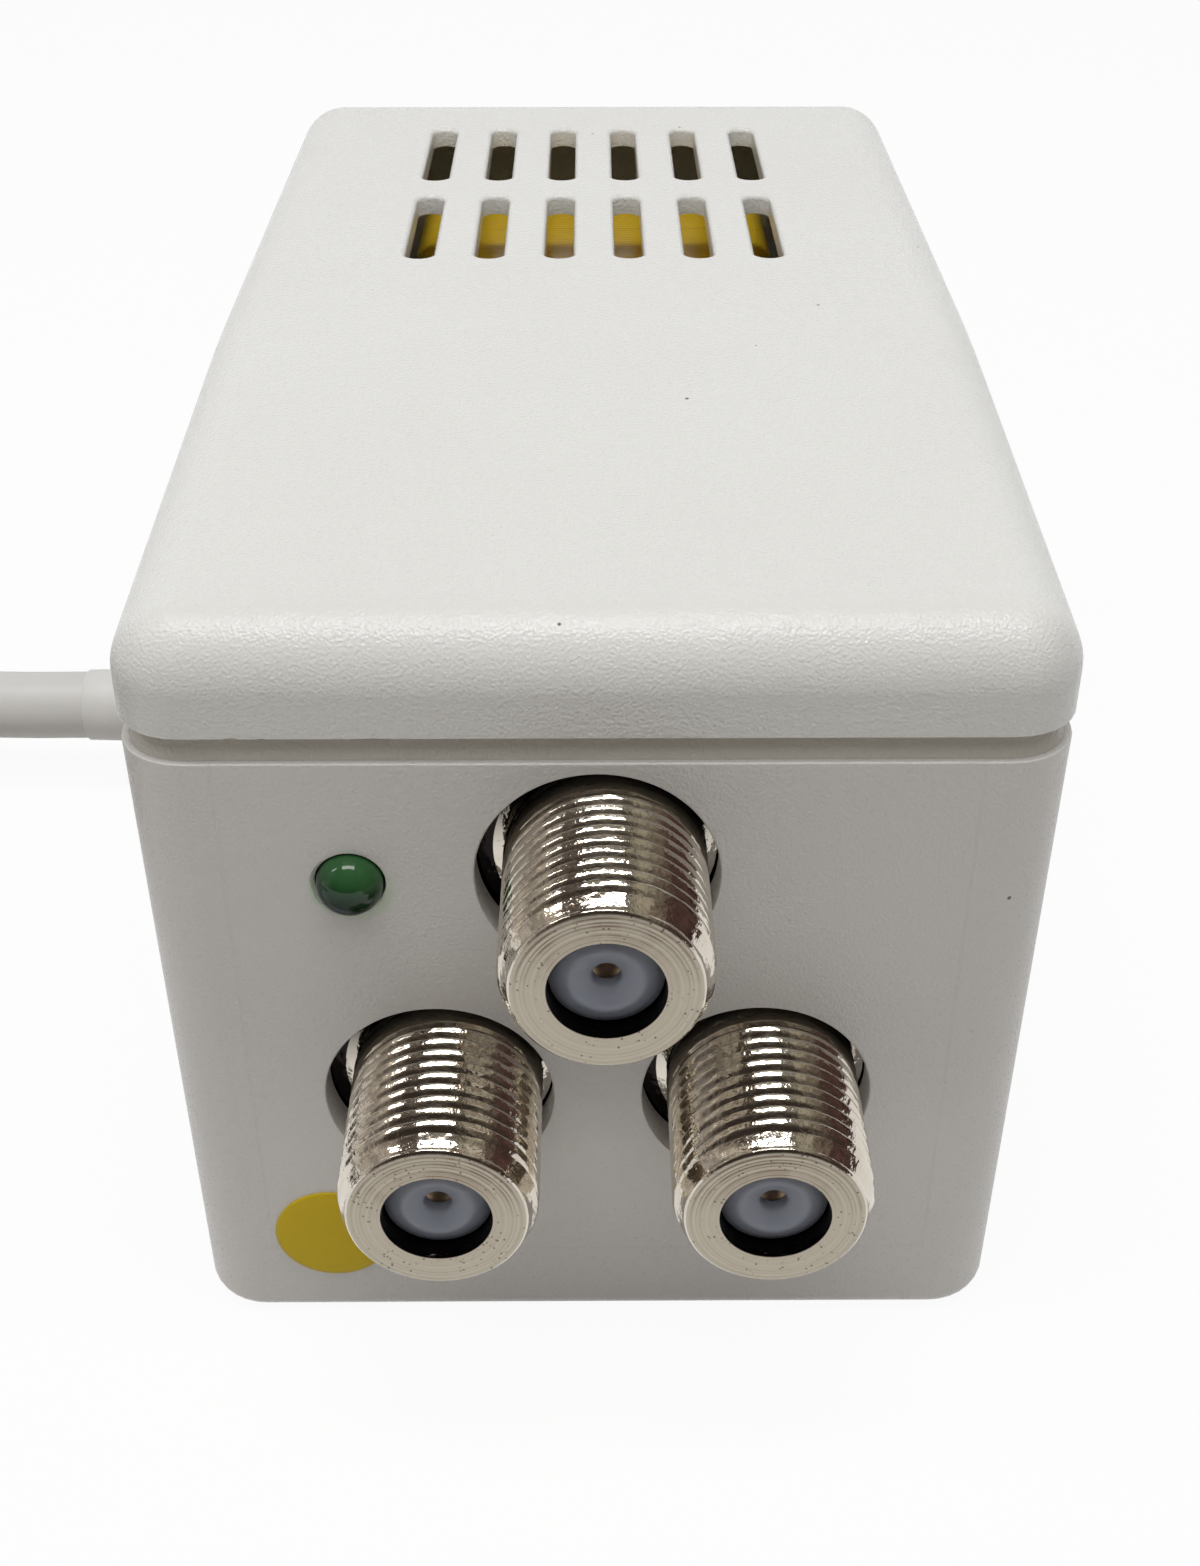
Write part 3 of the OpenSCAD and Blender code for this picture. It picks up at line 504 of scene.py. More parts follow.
def metal(name, light, dark, rough=(0.18, 0.34), stretch=None):
    """Bare metal: slow changes of tint, and a fine grain that stretch draws out."""
    look = Look(name, metallic=1.0)
    fine = look.noise(4.0, 4.0, stretch)
    tint = look.mix(look.noise(0.6, 3.0), dark, light)
    return look.surface(tint, (fine, *rough), (fine, 0.006))


def case_plastic(name, light, dark, panel=False, depth=0.026, rough=(0.2, 0.4)):
    """White plastic with a fine spark-eroded grain, faint yellowing and a few specks of dirt; on the panel,
    painted pale green light by the lamp and the insert's faint line; on the cover, painted shade in the
    groove under its edge.
    """
    look = Look(name, specular_ior_level=0.5)
    grain = look.noise(6.5)
    fine = look.math("ADD", grain, look.times(look.cells(6.0), 0.5))
    slow = look.mix(look.noise(0.07, 3.0), dark, light)
    dirty = look.step(look.noise(0.21, 1.0), 0.56, 0.6)
    speck = look.times(look.step(look.cells(0.34), 0.045, 0.025), dirty)
    tint = look.mix(speck, slow, (0.16, 0.13, 0.1))
    normal = look.bump(fine, depth)
    if panel:
        front = look.step(look.y, 1.0, 0.7)
        # Painted light: pale green light from the lamp on its hole's mouth and just below it.
        tint = look.mix(look.times(painted_lamp_light(look), front), tint, (0.60, 0.76, 0.56))
        line = look.times(insert_line(look), front)
        tint = look.mix(look.times(line, 0.05), tint, (0.45, 0.43, 0.41))
        normal = look.bump(line, -0.015, normal)
    else:
        # Painted shade: the band between the cover's edge and the rim is darkened as shade.
        below_edge = look.step(look.z, COVER_EDGE + 0.02, COVER_EDGE - 0.1)
        groove = look.times(below_edge, look.step(look.z, RIM_H - 0.05, RIM_H))
        tint = look.mix(look.times(groove, 0.65), tint, (0.60, 0.55, 0.46))
    return look.done(base_color=tint, roughness=look.span(grain, *rough), normal=normal)


def painted_lamp_light(look):
    """Share of painted pale green light, where light through the lamp's lens would fall, on the mouth of
    its hole and just below it.
    """
    mouth = look.step(look.reach(look.x, look.z, LAMP_SEAT), LED_R + 0.36, LED_R + 0.26)
    mouth = look.times(mouth, look.step(look.z, LED_Z + 0.9, LED_Z - 0.4))
    below_at = (LED_X + 0.35, LED_Z - 0.42)
    below = look.step(look.reach(look.x, look.z, below_at), LED_R + 0.28, LED_R - 0.1)
    return look.most(look.times(mouth, 0.6), look.times(below, 0.55))


def insert_line(look):
    """Faint line that the mould's insert leaves on the front panel."""
    off_middle = look.off(look.x, 0.0)
    upright = look.step(look.off(off_middle, INSERT_X), 0.16, 0.04)
    level = look.step(look.off(look.z, INSERT_Z), 0.16, 0.04)
    above = look.step(look.z, INSERT_Z - 0.1, INSERT_Z)
    inside = look.step(off_middle, INSERT_X + 0.1, INSERT_X)
    return look.most(look.times(upright, above), look.times(level, inside))


def turned_nickel(name, centre):
    """Nickel plate, with turning marks, stains and dark pits on the end face.

    Its colour is painted near-black as shade in the bore, on the flange's outer ring, and on the rear
    inside the panel's hole, where the hole hides it from light.
    """
    look = Look(name, metallic=1.0)
    off = look.reach(look.x, look.z, centre)
    on_face = look.step(look.y, -CONN_OUT + 0.07, -CONN_OUT + 0.02)
    marks = {"W": off, "Scale": 7.0, "Detail": 3.0}
    lines = look.node("TexNoise", marks, noise_dimensions="1D")
    patches = look.step(look.noise(0.9), 0.44, 0.58)
    pits = look.times(look.step(look.cells(3.6), 0.27, 0.12), patches)
    plate = look.mix(look.noise(0.7, 3.0), (0.56, 0.505, 0.43), (0.72, 0.67, 0.59))
    high = look.step(look.math("SUBTRACT", look.z, centre[1]), -0.5, 3.0)
    smear = look.step(look.noise(0.8, 3.0, (1.0, 1.0, 0.6)), 0.36, 0.62)
    streaks = look.times(look.step(lines, 0.4, 0.62), look.span(high, 0.15, 1.0))
    streaks = look.times(streaks, look.span(smear, 0.5, 1.0))
    worn = look.mix(streaks, (0.47, 0.425, 0.345), (0.23, 0.175, 0.13))
    bare = look.mix(look.times(pits, 0.85), worn, (0.1, 0.08, 0.06))
    # Painted shade: near-black inside the panel's hole towards the back and top, on the flange's outer ring
    # and in the bore.
    hole_shade = look.times(look.step(look.y, 0.2, 1.5), look.span(high, 0.0, 0.85))
    rim = look.step(off, FLAT_R - 0.02, FLAT_R + 0.02)
    bore = look.step(off, BORE_R + 0.026, BORE_R + 0.008)
    painted_shade = look.most(look.most(rim, bore), hole_shade)
    rough_face = look.span(lines, 0.38, 0.6)
    rough_side = look.span(look.noise(6.0, 4.0), 0.06, 0.16)
    dents = look.bump(look.noise(1.2, 3.0), 0.07)
    return look.done(
        base_color=look.mix(painted_shade, look.mix(on_face, plate, bare), (0.014, 0.012, 0.011)),
        roughness=look.node("Mix", {"Factor": on_face, 2: rough_side, 3: rough_face}),
        normal=look.bump(look.times(lines, on_face), 0.02, dents),
    )


def lamp_glass(name):
    """Tinted lens, its colour painted paler near the top and right as light gathering there, and painted
    dark and bluish below as shade.
    """
    look = Look(name, transmission_weight=0.1, ior=1.42)
    lean = 0.3
    rise = look.math("ADD", look.z, look.times(look.x, lean))
    rise = look.math("ADD", rise, look.times(look.noise(1.3), 0.4))
    middle = LED_Z + lean * LED_X + 0.2
    # Painted light above the middle of the lens and painted shade below it.
    low = look.mix(look.step(rise, middle - 1.0, middle), (0.004, 0.012, 0.011), (0.008, 0.045, 0.015))
    return look.done(
        base_color=look.mix(look.step(rise, middle, middle + 1.1), low, (0.031, 0.108, 0.036)),
        roughness=look.span(look.noise(2.0), 0.04, 0.1),
        specular_ior_level=look.span(look.step(rise, middle - 0.5, middle + 0.3), 0.1, 0.5),
    )


def sticker_paper(name):
    """Yellow paper, darker at its worn rim."""
    look = Look(name, specular_ior_level=0.25)
    fine = look.noise(7.0, 3.0)
    tint = look.mix(look.noise(0.12, 4.0), (0.71, 0.50, 0.006), (0.755, 0.55, 0.008))
    edge = look.step(look.reach(look.x, look.z, STICKER_AT), STICKER_R - 0.3, STICKER_R)
    tint = look.mix(look.times(edge, 0.35), tint, (0.45, 0.33, 0.03))
    return look.surface(tint, (fine, 0.38, 0.5), (fine, 0.012))


def board_green(name):
    """Solder mask over copper tracks, with a weave under it."""
    look = Look(name, coat_weight=0.25, coat_roughness=0.2)
    tracks = look.cells(0.28, feature="F2", distance="CHEBYCHEV")
    track = look.step(look.off(tracks, 0.72), 0.11, 0.08)
    weave = look.noise(3.5)
    tint = look.mix(track, (0.015, 0.10, 0.035), (0.035, 0.19, 0.06))
    return look.surface(tint, (weave, 0.26, 0.4), (track, 0.03, look.bump(weave, 0.01)))


def board_brown(name):
    """Pressed paper board with long fibres."""
    look = Look(name)
    fibre = look.noise(1.2, 4.0, (1.0, 0.25, 1.0))
    tint = look.mix(fibre, (0.20, 0.10, 0.035), (0.36, 0.21, 0.085))
    return look.surface(tint, (look.noise(4.0), 0.42, 0.6), (fibre, 0.02))


def plates(name):
    """Stack of varnished iron plates, edge on."""
    look = Look(name, metallic=0.4)
    plates_in_mm = 2.0
    in_plate = look.math("FRACT", look.times(look.z, plates_in_mm))
    gap = look.step(look.off(in_plate, 0.5), 0.36, 0.47)
    rust = look.step(look.noise(0.35, 5.0), 0.55, 0.7)
    steel = look.mix(look.noise(1.5, 3.0), (0.27, 0.255, 0.235), (0.40, 0.38, 0.35))
    worn = look.mix(rust, steel, (0.34, 0.20, 0.10))
    tint = look.mix(gap, worn, (0.025, 0.022, 0.02))
    return look.surface(tint, (look.noise(3.0, 3.0), 0.36, 0.58), (gap, -0.06))


def tape_film(name):
    """Glossy yellow film, with the edge of its last turn, over copper wire that shows through."""
    look = Look(
        name, coat_weight=0.4, coat_roughness=0.12, subsurface_weight=0.15, subsurface_scale=1.0 * MM
    )
    lap = look.step(look.off(look.y, CORE_Y + 2.2), 0.1, 0.02)
    tint = look.mix(look.noise(0.35, 3.0), (0.86, 0.57, 0.02), (0.96, 0.68, 0.035))
    wires = look.bump(look.waves(look.y, 16.0), 0.02)
    tint = look.mix(look.times(lap, 0.6), tint, (0.56, 0.34, 0.015))
    return look.surface(tint, (look.noise(1.5, 3.0), 0.22, 0.4), (look.noise(0.5, 3.0), 0.12, wires))


def dressed(name, colours, metal_share):
    """One part with a coloured body and bright leads; metal_share(look) says where the metal is."""
    look = Look(name)
    share = metal_share(look)
    fine = look.noise(3.0, 3.0)
    body = look.mix(look.noise(0.8, 3.0), *colours)
    tin = look.mix(fine, (0.55, 0.54, 0.52), (0.74, 0.73, 0.71))
    tint = look.mix(share, body, tin)
    return look.surface(tint, (fine, 0.35, 0.5), (fine, 0.012), metallic=share)


def can_sleeve(name, node):
    """Shrunk sleeve with a pale stripe down one side, bare scored aluminium on top."""
    low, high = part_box(node)
    x = (low[0] + high[0]) / 2 / MM
    y = (low[1] + high[1]) / 2 / MM - FRONT_Y
    r = (high[0] - low[0]) / 2 / MM
    top = high[2] / MM
    look = Look(name)
    above = look.step(look.z, top - 0.55, top - 0.35)
    lid = look.times(above, look.step(look.reach(look.x, look.y, (x, y)), r - 0.75, r - 0.95))
    side = look.step(look.math("SUBTRACT", look.x, x), 0.72 * r, 0.76 * r)
    sleeve = look.mix(side, (0.012, 0.018, 0.075), (0.42, 0.45, 0.52))
    score = look.most(look.step(look.off(look.x, x), 0.22, 0.1), look.step(look.off(look.y, y), 0.22, 0.1))
    fine = look.noise(2.5, 3.0)
    tint = look.mix(lid, sleeve, (0.68, 0.68, 0.69))
    scored = (look.times(score, lid), -0.2, look.bump(fine, 0.02))
    return look.surface(tint, (fine, 0.25, 0.42), scored, metallic=lid)


def choke_look(name):
    """Copper turns on the middle of a ferrite bobbin."""
    look = Look(name)
    middle = look.step(look.off(look.y, RF_BACK + 2.5), 1.62, 1.58)
    turns = look.waves(look.y, 18.0)
    tint = look.mix(middle, (0.03, 0.029, 0.03), (0.42, 0.16, 0.06))
    rough = (look.noise(3.0), 0.3, 0.55)
    return look.surface(tint, rough, (look.times(turns, middle), 0.08), metallic=look.times(middle, 0.8))


def woven(name):
    """Black woven strap."""
    look = Look(name, sheen_weight=0.4, sheen_roughness=0.5)
    rate = 9.0
    along = look.waves(look.math("ADD", look.y, look.z), rate)
    lift = look.step(look.times(look.waves(look.x, rate), along), -0.6, 0.8)
    tint = look.mix(lift, (0.008, 0.008, 0.009), (0.045, 0.044, 0.046))
    return look.surface(tint, (look.noise(3.0), 0.6, 0.85), (lift, 0.12))


# Mains cord, in the part's own frame: exit, lead, coil and tail

EXIT = (-BUSH_X - BOOT_OUT, BUSH_Y + FRONT_Y, BUSH_Z)
# Steps from the exit, and the share of the drop to the coil's lower turns
LEAD = (
    (0, 0, 0), (-5, 0, 0), (-8.5, 0.3, 0.02), (-11.8, 1.2, 0.07), (-15, 2.7, 0.15),
    (-17.9, 4.7, 0.26), (-20.3, 7.1, 0.38), (-22.3, 10, 0.5), (-24.3, 12.9, 0.62),
    (-26.7, 15.3, 0.74), (-29.6, 17.3, 0.85), (-32.8, 18.8, 0.93), (-36.1, 19.7, 0.98),
    (-39.6, 20, 1), (-44.6, 20, 1),
)
# Steps from the coil's end, and the share of the way to the plug's height
TAIL = ((4, 0.16), (8, 0.5), (12, 0.84), (16, 1), (21, 1))
RINGS_IN_TURN = 24
COIL_OUT = COIL_IN + COIL_STEP * COIL_TURNS
COIL_AT = (EXIT[0] + LEAD[-1][0] - 2 * CORD_R, EXIT[1] + LEAD[-1][1] - COIL_OUT)
PLUG_AT = (COIL_AT[0] - COIL_OUT, COIL_AT[1] - TAIL[-1][0], PLUG_T / 2)


def coil_point(t):
    """Point of the coil, t turns from its middle: in along the lower turns, out along the upper."""
    r = COIL_IN + COIL_STEP * abs(t)
    a = math.radians(90 + 360 * (t + COIL_TURNS))
    z = COIL_LOW + (COIL_HIGH - COIL_LOW) * ease((t + 0.25) / 0.5)
    return (COIL_AT[0] + r * math.cos(a), COIL_AT[1] + r * math.sin(a), z)


def cord_points():
    lead = [
        (EXIT[0] + dx, EXIT[1] + dy, BUSH_Z + (COIL_LOW - BUSH_Z) * drop) for dx, dy, drop in LEAD
    ]
    lead.append((lead[-1][0] - CORD_R, lead[-1][1], COIL_LOW))
    count = round(2 * COIL_TURNS * RINGS_IN_TURN)
    coil = [coil_point(COIL_TURNS * (2 * i / count - 1)) for i in range(count + 1)]
    end = coil[-1]
    tail = [(end[0], end[1] - run, end[2] + (PLUG_AT[2] - end[2]) * drop) for run, drop in TAIL]
    return lead + coil + tail


def path_length(points):
    return sum((Vector(b) - Vector(a)).length for a, b in zip(points, points[1:]))


def add_cord(material):
    points = cord_points()
    curve = bpy.data.curves.new("mains_lead", "CURVE")
    curve.dimensions = "3D"
    curve.bevel_depth = CORD_R * MM
    curve.bevel_resolution = 6
    curve.resolution_u = 5
    curve.use_fill_caps = True
    spline = curve.splines.new("BEZIER")
    spline.bezier_points.add(len(points) - 1)
    for knot, point in zip(spline.bezier_points, points):
        knot.co = Vector(point) * MM
        knot.handle_left_type = "AUTO"
        knot.handle_right_type = "AUTO"
    made = link("mains_lead", curve)
    finish_piece(made, [material], "case", ["mains_cord", "cord_coil"])
    path_length(points) * MM


# Case


def base_ring(shape, z, inset):
    inner = face_y(z) + inset
    ring = plan_ring(half_w(z) - inset, inner, BODY_D - inner, max(CORNER_R - inset, 0.4))
    return shape.ring([(x, y, z) for x, y in ring])


def flared(r, flare):
    """Profile of a hole cutter: a rounded mouth at 0, then straight to its depth."""
    profile = [(0, -1.0), (r + flare, -1.0), (r + flare, -0.02)]
    for k in range(6):
        a = math.radians(-100 - 16 * k)
        profile.append((r + flare + flare * math.cos(a), flare + flare * math.sin(a)))
    return profile + [(r, HOLE_DEEP), (0, HOLE_DEEP)]


def board_holders():
    """Sill, ribs, posts and pegs inside the base."""
    reach = half_w(WALL) - WALL / 2
    low = WALL / 2
    bevel = 0.25
    post = [(0, low), (POST_R, low), (POST_R, PB_Z - bevel), (POST_R - bevel, PB_Z)]
    peg = post + [(PEG_R, PB_Z), (PEG_R, PB_TOP + 0.7), (PEG_R - 0.3, PB_TOP + 1), (0, PB_TOP + 1)]
    post = post + [(0, PB_Z)]
    made = [block_tool("sill", -RF_HALF / 2, RF_HALF / 2, RF_Y, RF_BACK, low, RF_Z)]
    for side in (-1, 1):
        x0, x1 = sorted((side * (RF_HALF - RIB_BITE), side * reach))
        for y in (RF_Y - BOARD_FIT - RIB_T, RF_BACK + BOARD_FIT):
            made.append(block_tool("rib", x0, x1, y, y + RIB_T, low, RIB_TOP))
        made.append(turned_tool("post", post, along_z(side * POST_X, POST_Y, 0), 32))
        made.append(turned_tool("peg", peg, along_z(side * PEG_X, PEG_Y, 0), 32))
    return made


def base_holes():
    """Cutters for the sockets, the lamp and its shallow seat, the cord and the screws."""
    made = []
    for x, z in CONNECTORS.values():
        made.append(turned_tool("hole", flared(HOLE_R, 0.08), along_y(x, face_y(z), z), 96))
    front = face_y(LED_Z)
    made.append(turned_tool("hole", flared(LED_R + LAMP_FIT, 0.06), along_y(LED_X, front, LED_Z), 48))
    seat = [(0, -1.0), (LED_R + 0.3, -1.0), (LED_R + 0.24, 0.0), (LED_R + 0.1, 0.07), (LED_R, 0.16)]
    seat_x, seat_z = LAMP_SEAT
    made.append(turned_tool("seat", seat + [(0, 0.16)], along_y(seat_x, front, seat_z), 48))
    exit_hole = [(0, -2.0), (BUSH_HOLE_R, -2.0), (BUSH_HOLE_R, 4.0), (0, 4.0)]
    made.append(turned_tool("exit", exit_hole, along_x(-BUSH_X, BUSH_Y, BUSH_Z), 48))
    pilot_r, pilot_end = 1.15, PB_Z - 4
    pilot = [(0, pilot_end), (pilot_r, pilot_end), (pilot_r, PB_Z + 1), (0, PB_Z + 1)]
    for side in (-1, 1):
        made.append(turned_tool("pilot", pilot, along_z(side * POST_X, POST_Y, 0), 24))
    return made


def add_base(material):
    """Drafted tub: a rounded foot, a rim with softened edges, and the inside down to the floor."""
    shape = Shape()
    edge, inner_edge, floor_r = 0.1, 0.2, 0.5
    steps = [(FOOT_R - FOOT_R * cos, FOOT_R - FOOT_R * sin) for sin, cos in quarter(6)]
    steps += [(RIM_H - edge, 0), (RIM_H - 0.03, 0.03), (RIM_H, edge)]
    steps += [(RIM_H, WALL - inner_edge), (RIM_H - inner_edge, WALL)]
    steps += [(WALL + floor_r, WALL), (WALL, WALL + floor_r)]
    shape.solid([base_ring(shape, z, inset) for z, inset in steps])
    made = mesh_object("case_base", shape)
    combine(made, board_holders(), "UNION")
    combine(made, base_holes(), "DIFFERENCE")
    soften(made.data, 32)
    finish_piece(made, [material], "case", ["base_case"], flat=True)


def top_at(y):
    """Height of the cover's top: a slope at the front that eases into the level part."""
    slope = FRONT_DROP / (BEND_D - EDGE_R)
    ahead = BEND_D - max(y, EDGE_R)
    if ahead <= -BEND_BLEND:
        return COVER_TOP
    if ahead >= BEND_BLEND:
        return COVER_TOP - slope * ahead
    return COVER_TOP - slope * (ahead + BEND_BLEND) ** 2 / (4 * BEND_BLEND)


def cover_ring(shape, inset, z=None, drop=None):
    """Ring of the cover, set in from its outer face, level at z or drop below the top."""
    ring = plan_ring(BODY_W / 2 - inset, inset, BODY_D - inset, max(CORNER_R - inset, 0.4), COVER_STOPS)
    return shape.ring([(px, py, top_at(py) - drop if z is None else z) for px, py in ring])


def slot_tool(x, y):
    """Cutter for one vent slot, with a rounded mouth at the top."""
    shape = Shape()
    levels = [(0, -5.0), (0, -SLOT_FLARE)]
    for k in range(1, 5):
        a = math.radians(20 * k)
        levels.append((SLOT_FLARE - SLOT_FLARE * math.cos(a), -SLOT_FLARE + SLOT_FLARE * math.sin(a)))
    levels.append((SLOT_FLARE + 0.02, 1.0))
    half = (SLOT_L - SLOT_W) / 2
    rings = []
    for out, up in levels:
        r = SLOT_W / 2 + out
        ring = []
        for end in (1, -1):
            for k in range(13):
                a = math.radians(15 * k)
                py = y + end * (half + r * math.sin(a))
                ring.append((x + end * r * math.cos(a), py, COVER_TOP + up))
        rings.append(shape.ring(ring))
    shape.solid(rings)
    return mesh_object("slot", shape)


def nick_tool(x, half, deep):
    """Cutter for a shallow nick in the cover's lower front edge."""
    profile = [(0, -half), (0.7 * deep, -0.5 * half), (deep, 0.1 * half)]
    profile += [(0.5 * deep, 0.6 * half), (0, half)]
    return turned_tool("nick", profile, along_x(x, 0, COVER_EDGE), 12)


def add_cover(material):
    """Lid with a rounded edge, a groove under it, a lip that enters the base, and its slots."""
    shape = Shape()
    rings = []
    for sin, cos in reversed(quarter(10)):
        rings.append(cover_ring(shape, EDGE_R - EDGE_R * cos, drop=EDGE_R - EDGE_R * sin))
    edge = 0.04
    back = GAP_IN - 0.2
    lip_back = LIP_IN + LIP_T
    steps = [
        (0, COVER_EDGE + edge), (edge, COVER_EDGE), (GAP_IN + 0.4, COVER_EDGE), (back, RIM_H + 0.12),
        (back, RIM_H), (LIP_IN, RIM_H), (LIP_IN, LIP_BOTTOM + 0.5), (LIP_IN + 0.3, LIP_BOTTOM),
        (lip_back, LIP_BOTTOM), (lip_back, LEDGE_TOP), (WALL, LEDGE_TOP),
    ]
    rings.extend(cover_ring(shape, inset, z=z) for inset, z in steps)
    for sin, cos in quarter(4):
        inset = WALL + ROOF_R - ROOF_R * cos
        rings.append(cover_ring(shape, inset, drop=ROOF + ROOF_R - ROOF_R * sin))
    shape.skin(rings)
    shape.strips(rings[0])
    shape.strips(rings[-1])
    made = mesh_object("case_cover", shape)
    room = RF_HALF + 0.2
    cut = [block_tool("notch", -room, room, WALL, WALL + 2.4, LIP_BOTTOM - 1, LEDGE_TOP + 0.7)]
    for y in SLOT_ROWS:
        for i in range(SLOTS_IN_ROW):
            cut.append(slot_tool((i - (SLOTS_IN_ROW - 1) / 2) * SLOT_PITCH, y))
    cut.extend(nick_tool(*nick) for nick in NICKS)
    combine(made, cut, "DIFFERENCE")
    soften(made.data, 32)
    finish_piece(made, [material], "cover", ["top_cover"], flat=True)


# Connectors, lamp and sticker


def thread_radius(s, a):
    """Radius at distance s from the face and angle a, with a right-hand thread of worn ridges."""
    phase = ((s - THREAD_START) / THREAD_PITCH - a / (2 * math.pi)) % 1.0
    run_in = ease((s - THREAD_FROM) / THREAD_RUN_IN)
    return min(between(BLANK, s), THREAD_R - THREAD_DEEP * between(RIDGE, phase) * run_in)


def add_shell(kind, centre, material):
    """Threaded barrel with its bore, the flange behind the panel, and four legs into the board."""
    x, z = centre
    place = along_y(x, -CONN_OUT, z)
    turns = 112
    shape = Shape()
    spin = [2 * math.pi * k / turns for k in range(turns)]

    def level(radius, s):
        return shape.ring([place(radius, a, s) for a in spin])

    rings = [level(BORE_R, SHELL_L), level(BORE_R, 0.04), level(BORE_R + 0.03, 0.0)]
    s, edge, edge_step = 0.0, 0.12, 0.04
    while s < THREAD_END:
        rings.append(shape.ring([place(thread_radius(s, a), a, s) for a in spin]))
        s += edge_step if s < edge else THREAD_PITCH / RINGS_IN_PITCH
    root = THREAD_R - THREAD_CUT
    bevel = 0.2
    rings.append(level(root, FLANGE_S - 0.25))
    for radius in (root, FLAT_R, FLAT_R + 0.07, FLANGE_R - bevel):
        rings.append(level(radius, FLANGE_S))
    rings.extend([level(FLANGE_R, FLANGE_S + bevel), level(FLANGE_R, SHELL_L - bevel)])
    rings.append(level(FLANGE_R - bevel, SHELL_L))
    shape.skin(rings, closed=True)
    leg_r, leg_l = 0.5, 3.0
    leg = [(0, -0.5), (leg_r, -0.5), (leg_r, leg_l - 0.3), (leg_r - 0.2, leg_l), (0, leg_l)]
    for turn in (45, 135, 225, 315):
        a = math.radians(turn)
        at = along_y(x + LEG_R * math.cos(a), SHELL_L - CONN_OUT, z + LEG_R * math.sin(a))
        turned(leg, at, 16, shape)
    node = "input_connector_shell" if kind == "input" else kind + "_shell"
    add_piece(kind + "_shell_turned", shape, 40, "nickel", node, material)


def add_insulator(kind, centre, material):
    """Tube whose front is a rounded ridge round a dished middle."""
    place = along_y(centre[0], -CONN_OUT, centre[1])
    r = BORE_R - 0.05
    dish = [(r, 0.44), (r - 0.04, 0.38), (2.1, 0.21), (1.8, 0.07), (1.68, 0.02), (1.56, 0.0)]
    dish += [(1.44, 0.02), (1.3, 0.08), (1.0, 0.22), (0.75, 0.35), (0.66, 0.43), (0.63, 0.52)]
    dish += [(0.63, 1.0), (0.8, 1.0)]
    profile = [(r, SHELL_L)] + [(radius, INSUL_IN + deep) for radius, deep in dish] + [(0.8, SHELL_L)]
    shape = turned(profile, place, 72, closed=True)
    add_piece(kind + "_dielectric", shape, 50, "insulator", kind + "_insulator", material)


def add_contact(kind, centre, material):
    """Sprung centre contact: leaves that close to a small dark gap, a tube and a solder tail."""
    place = along_y(centre[0], -CONN_OUT, centre[1])
    leaves = [(0, 0.75), (0.1, 0.7), (0.17, 0.5), (0.3, 0.3), (0.5, 0.12), (0.64, 0.03), (0.7, 0)]
    profile = [(r, CONTACT_S + s) for r, s in leaves + [(CONTACT_R, 0.06)]]
    profile += [(CONTACT_R, SHELL_L - 0.1), (CONTACT_R - 0.05, SHELL_L - 0.05), (TAIL_R, SHELL_L - 0.05)]
    profile += [(TAIL_R, SHELL_L + 2.65), (TAIL_R - 0.15, SHELL_L + 2.8), (0, SHELL_L + 2.8)]
    shape = turned(profile, place, 48)
    add_piece(kind + "_spring_contact", shape, 50, "contact", kind + "_contact", material)


def add_lamp(glass, lead_frame):
    """Round lens with a rim, and the cup and post of its lead frame inside."""
    lens = [(LED_R * sin, LED_R - LED_R * cos) for sin, cos in quarter(16)]
    base = LED_OUT + LED_BASE
    rim_r = 1.9
    lens += [(LED_R, base - 1.0), (rim_r, base - 1.0), (rim_r, base - 0.1), (rim_r - 0.1, base), (0, base)]
    shape = turned(lens, along_y(LED_X, -LED_OUT, LED_Z), 64)
    end = base - 0.2
    cup = [(0, 2.3), (0.2, 2.3), (0.5, 1.95), (0.62, 1.95), (0.62, 2.5), (0.25, 2.9), (0.25, end), (0, end)]
    post = [(0, 2.1), (0.16, 2.15), (0.2, 2.6), (0.2, end), (0, end)]
    for profile, aside, turns in ((cup, -0.35, 24), (post, 0.72, 16)):
        marks = [1] * (len(profile) - 1)
        turned(profile, along_y(LED_X + aside, -LED_OUT, LED_Z), turns, shape, marks)
    add_piece("lamp_lens", shape, 45, "lamp", "power_led", glass, lead_frame)


def add_sticker(material):
    """Thin disc that follows the front panel, its rim slightly worn down."""
    x, z = STICKER_AT

    def place(r, a, s):
        height = z + r * math.cos(a)
        return (x + r * math.sin(a), face_y(height) - s, height)

    profile = [(0, 0.0), (STICKER_R, 0.0), (STICKER_R, 0.07), (STICKER_R - 0.06, 0.13)]
    profile += [(STICKER_R - 0.25, STICKER_T), (1.5, STICKER_T - 0.005), (0, STICKER_T)]
    add_piece("front_dot", turned(profile, place, 96), 50, "sticker", "front_sticker", material)


# Strain relief, plug and strap


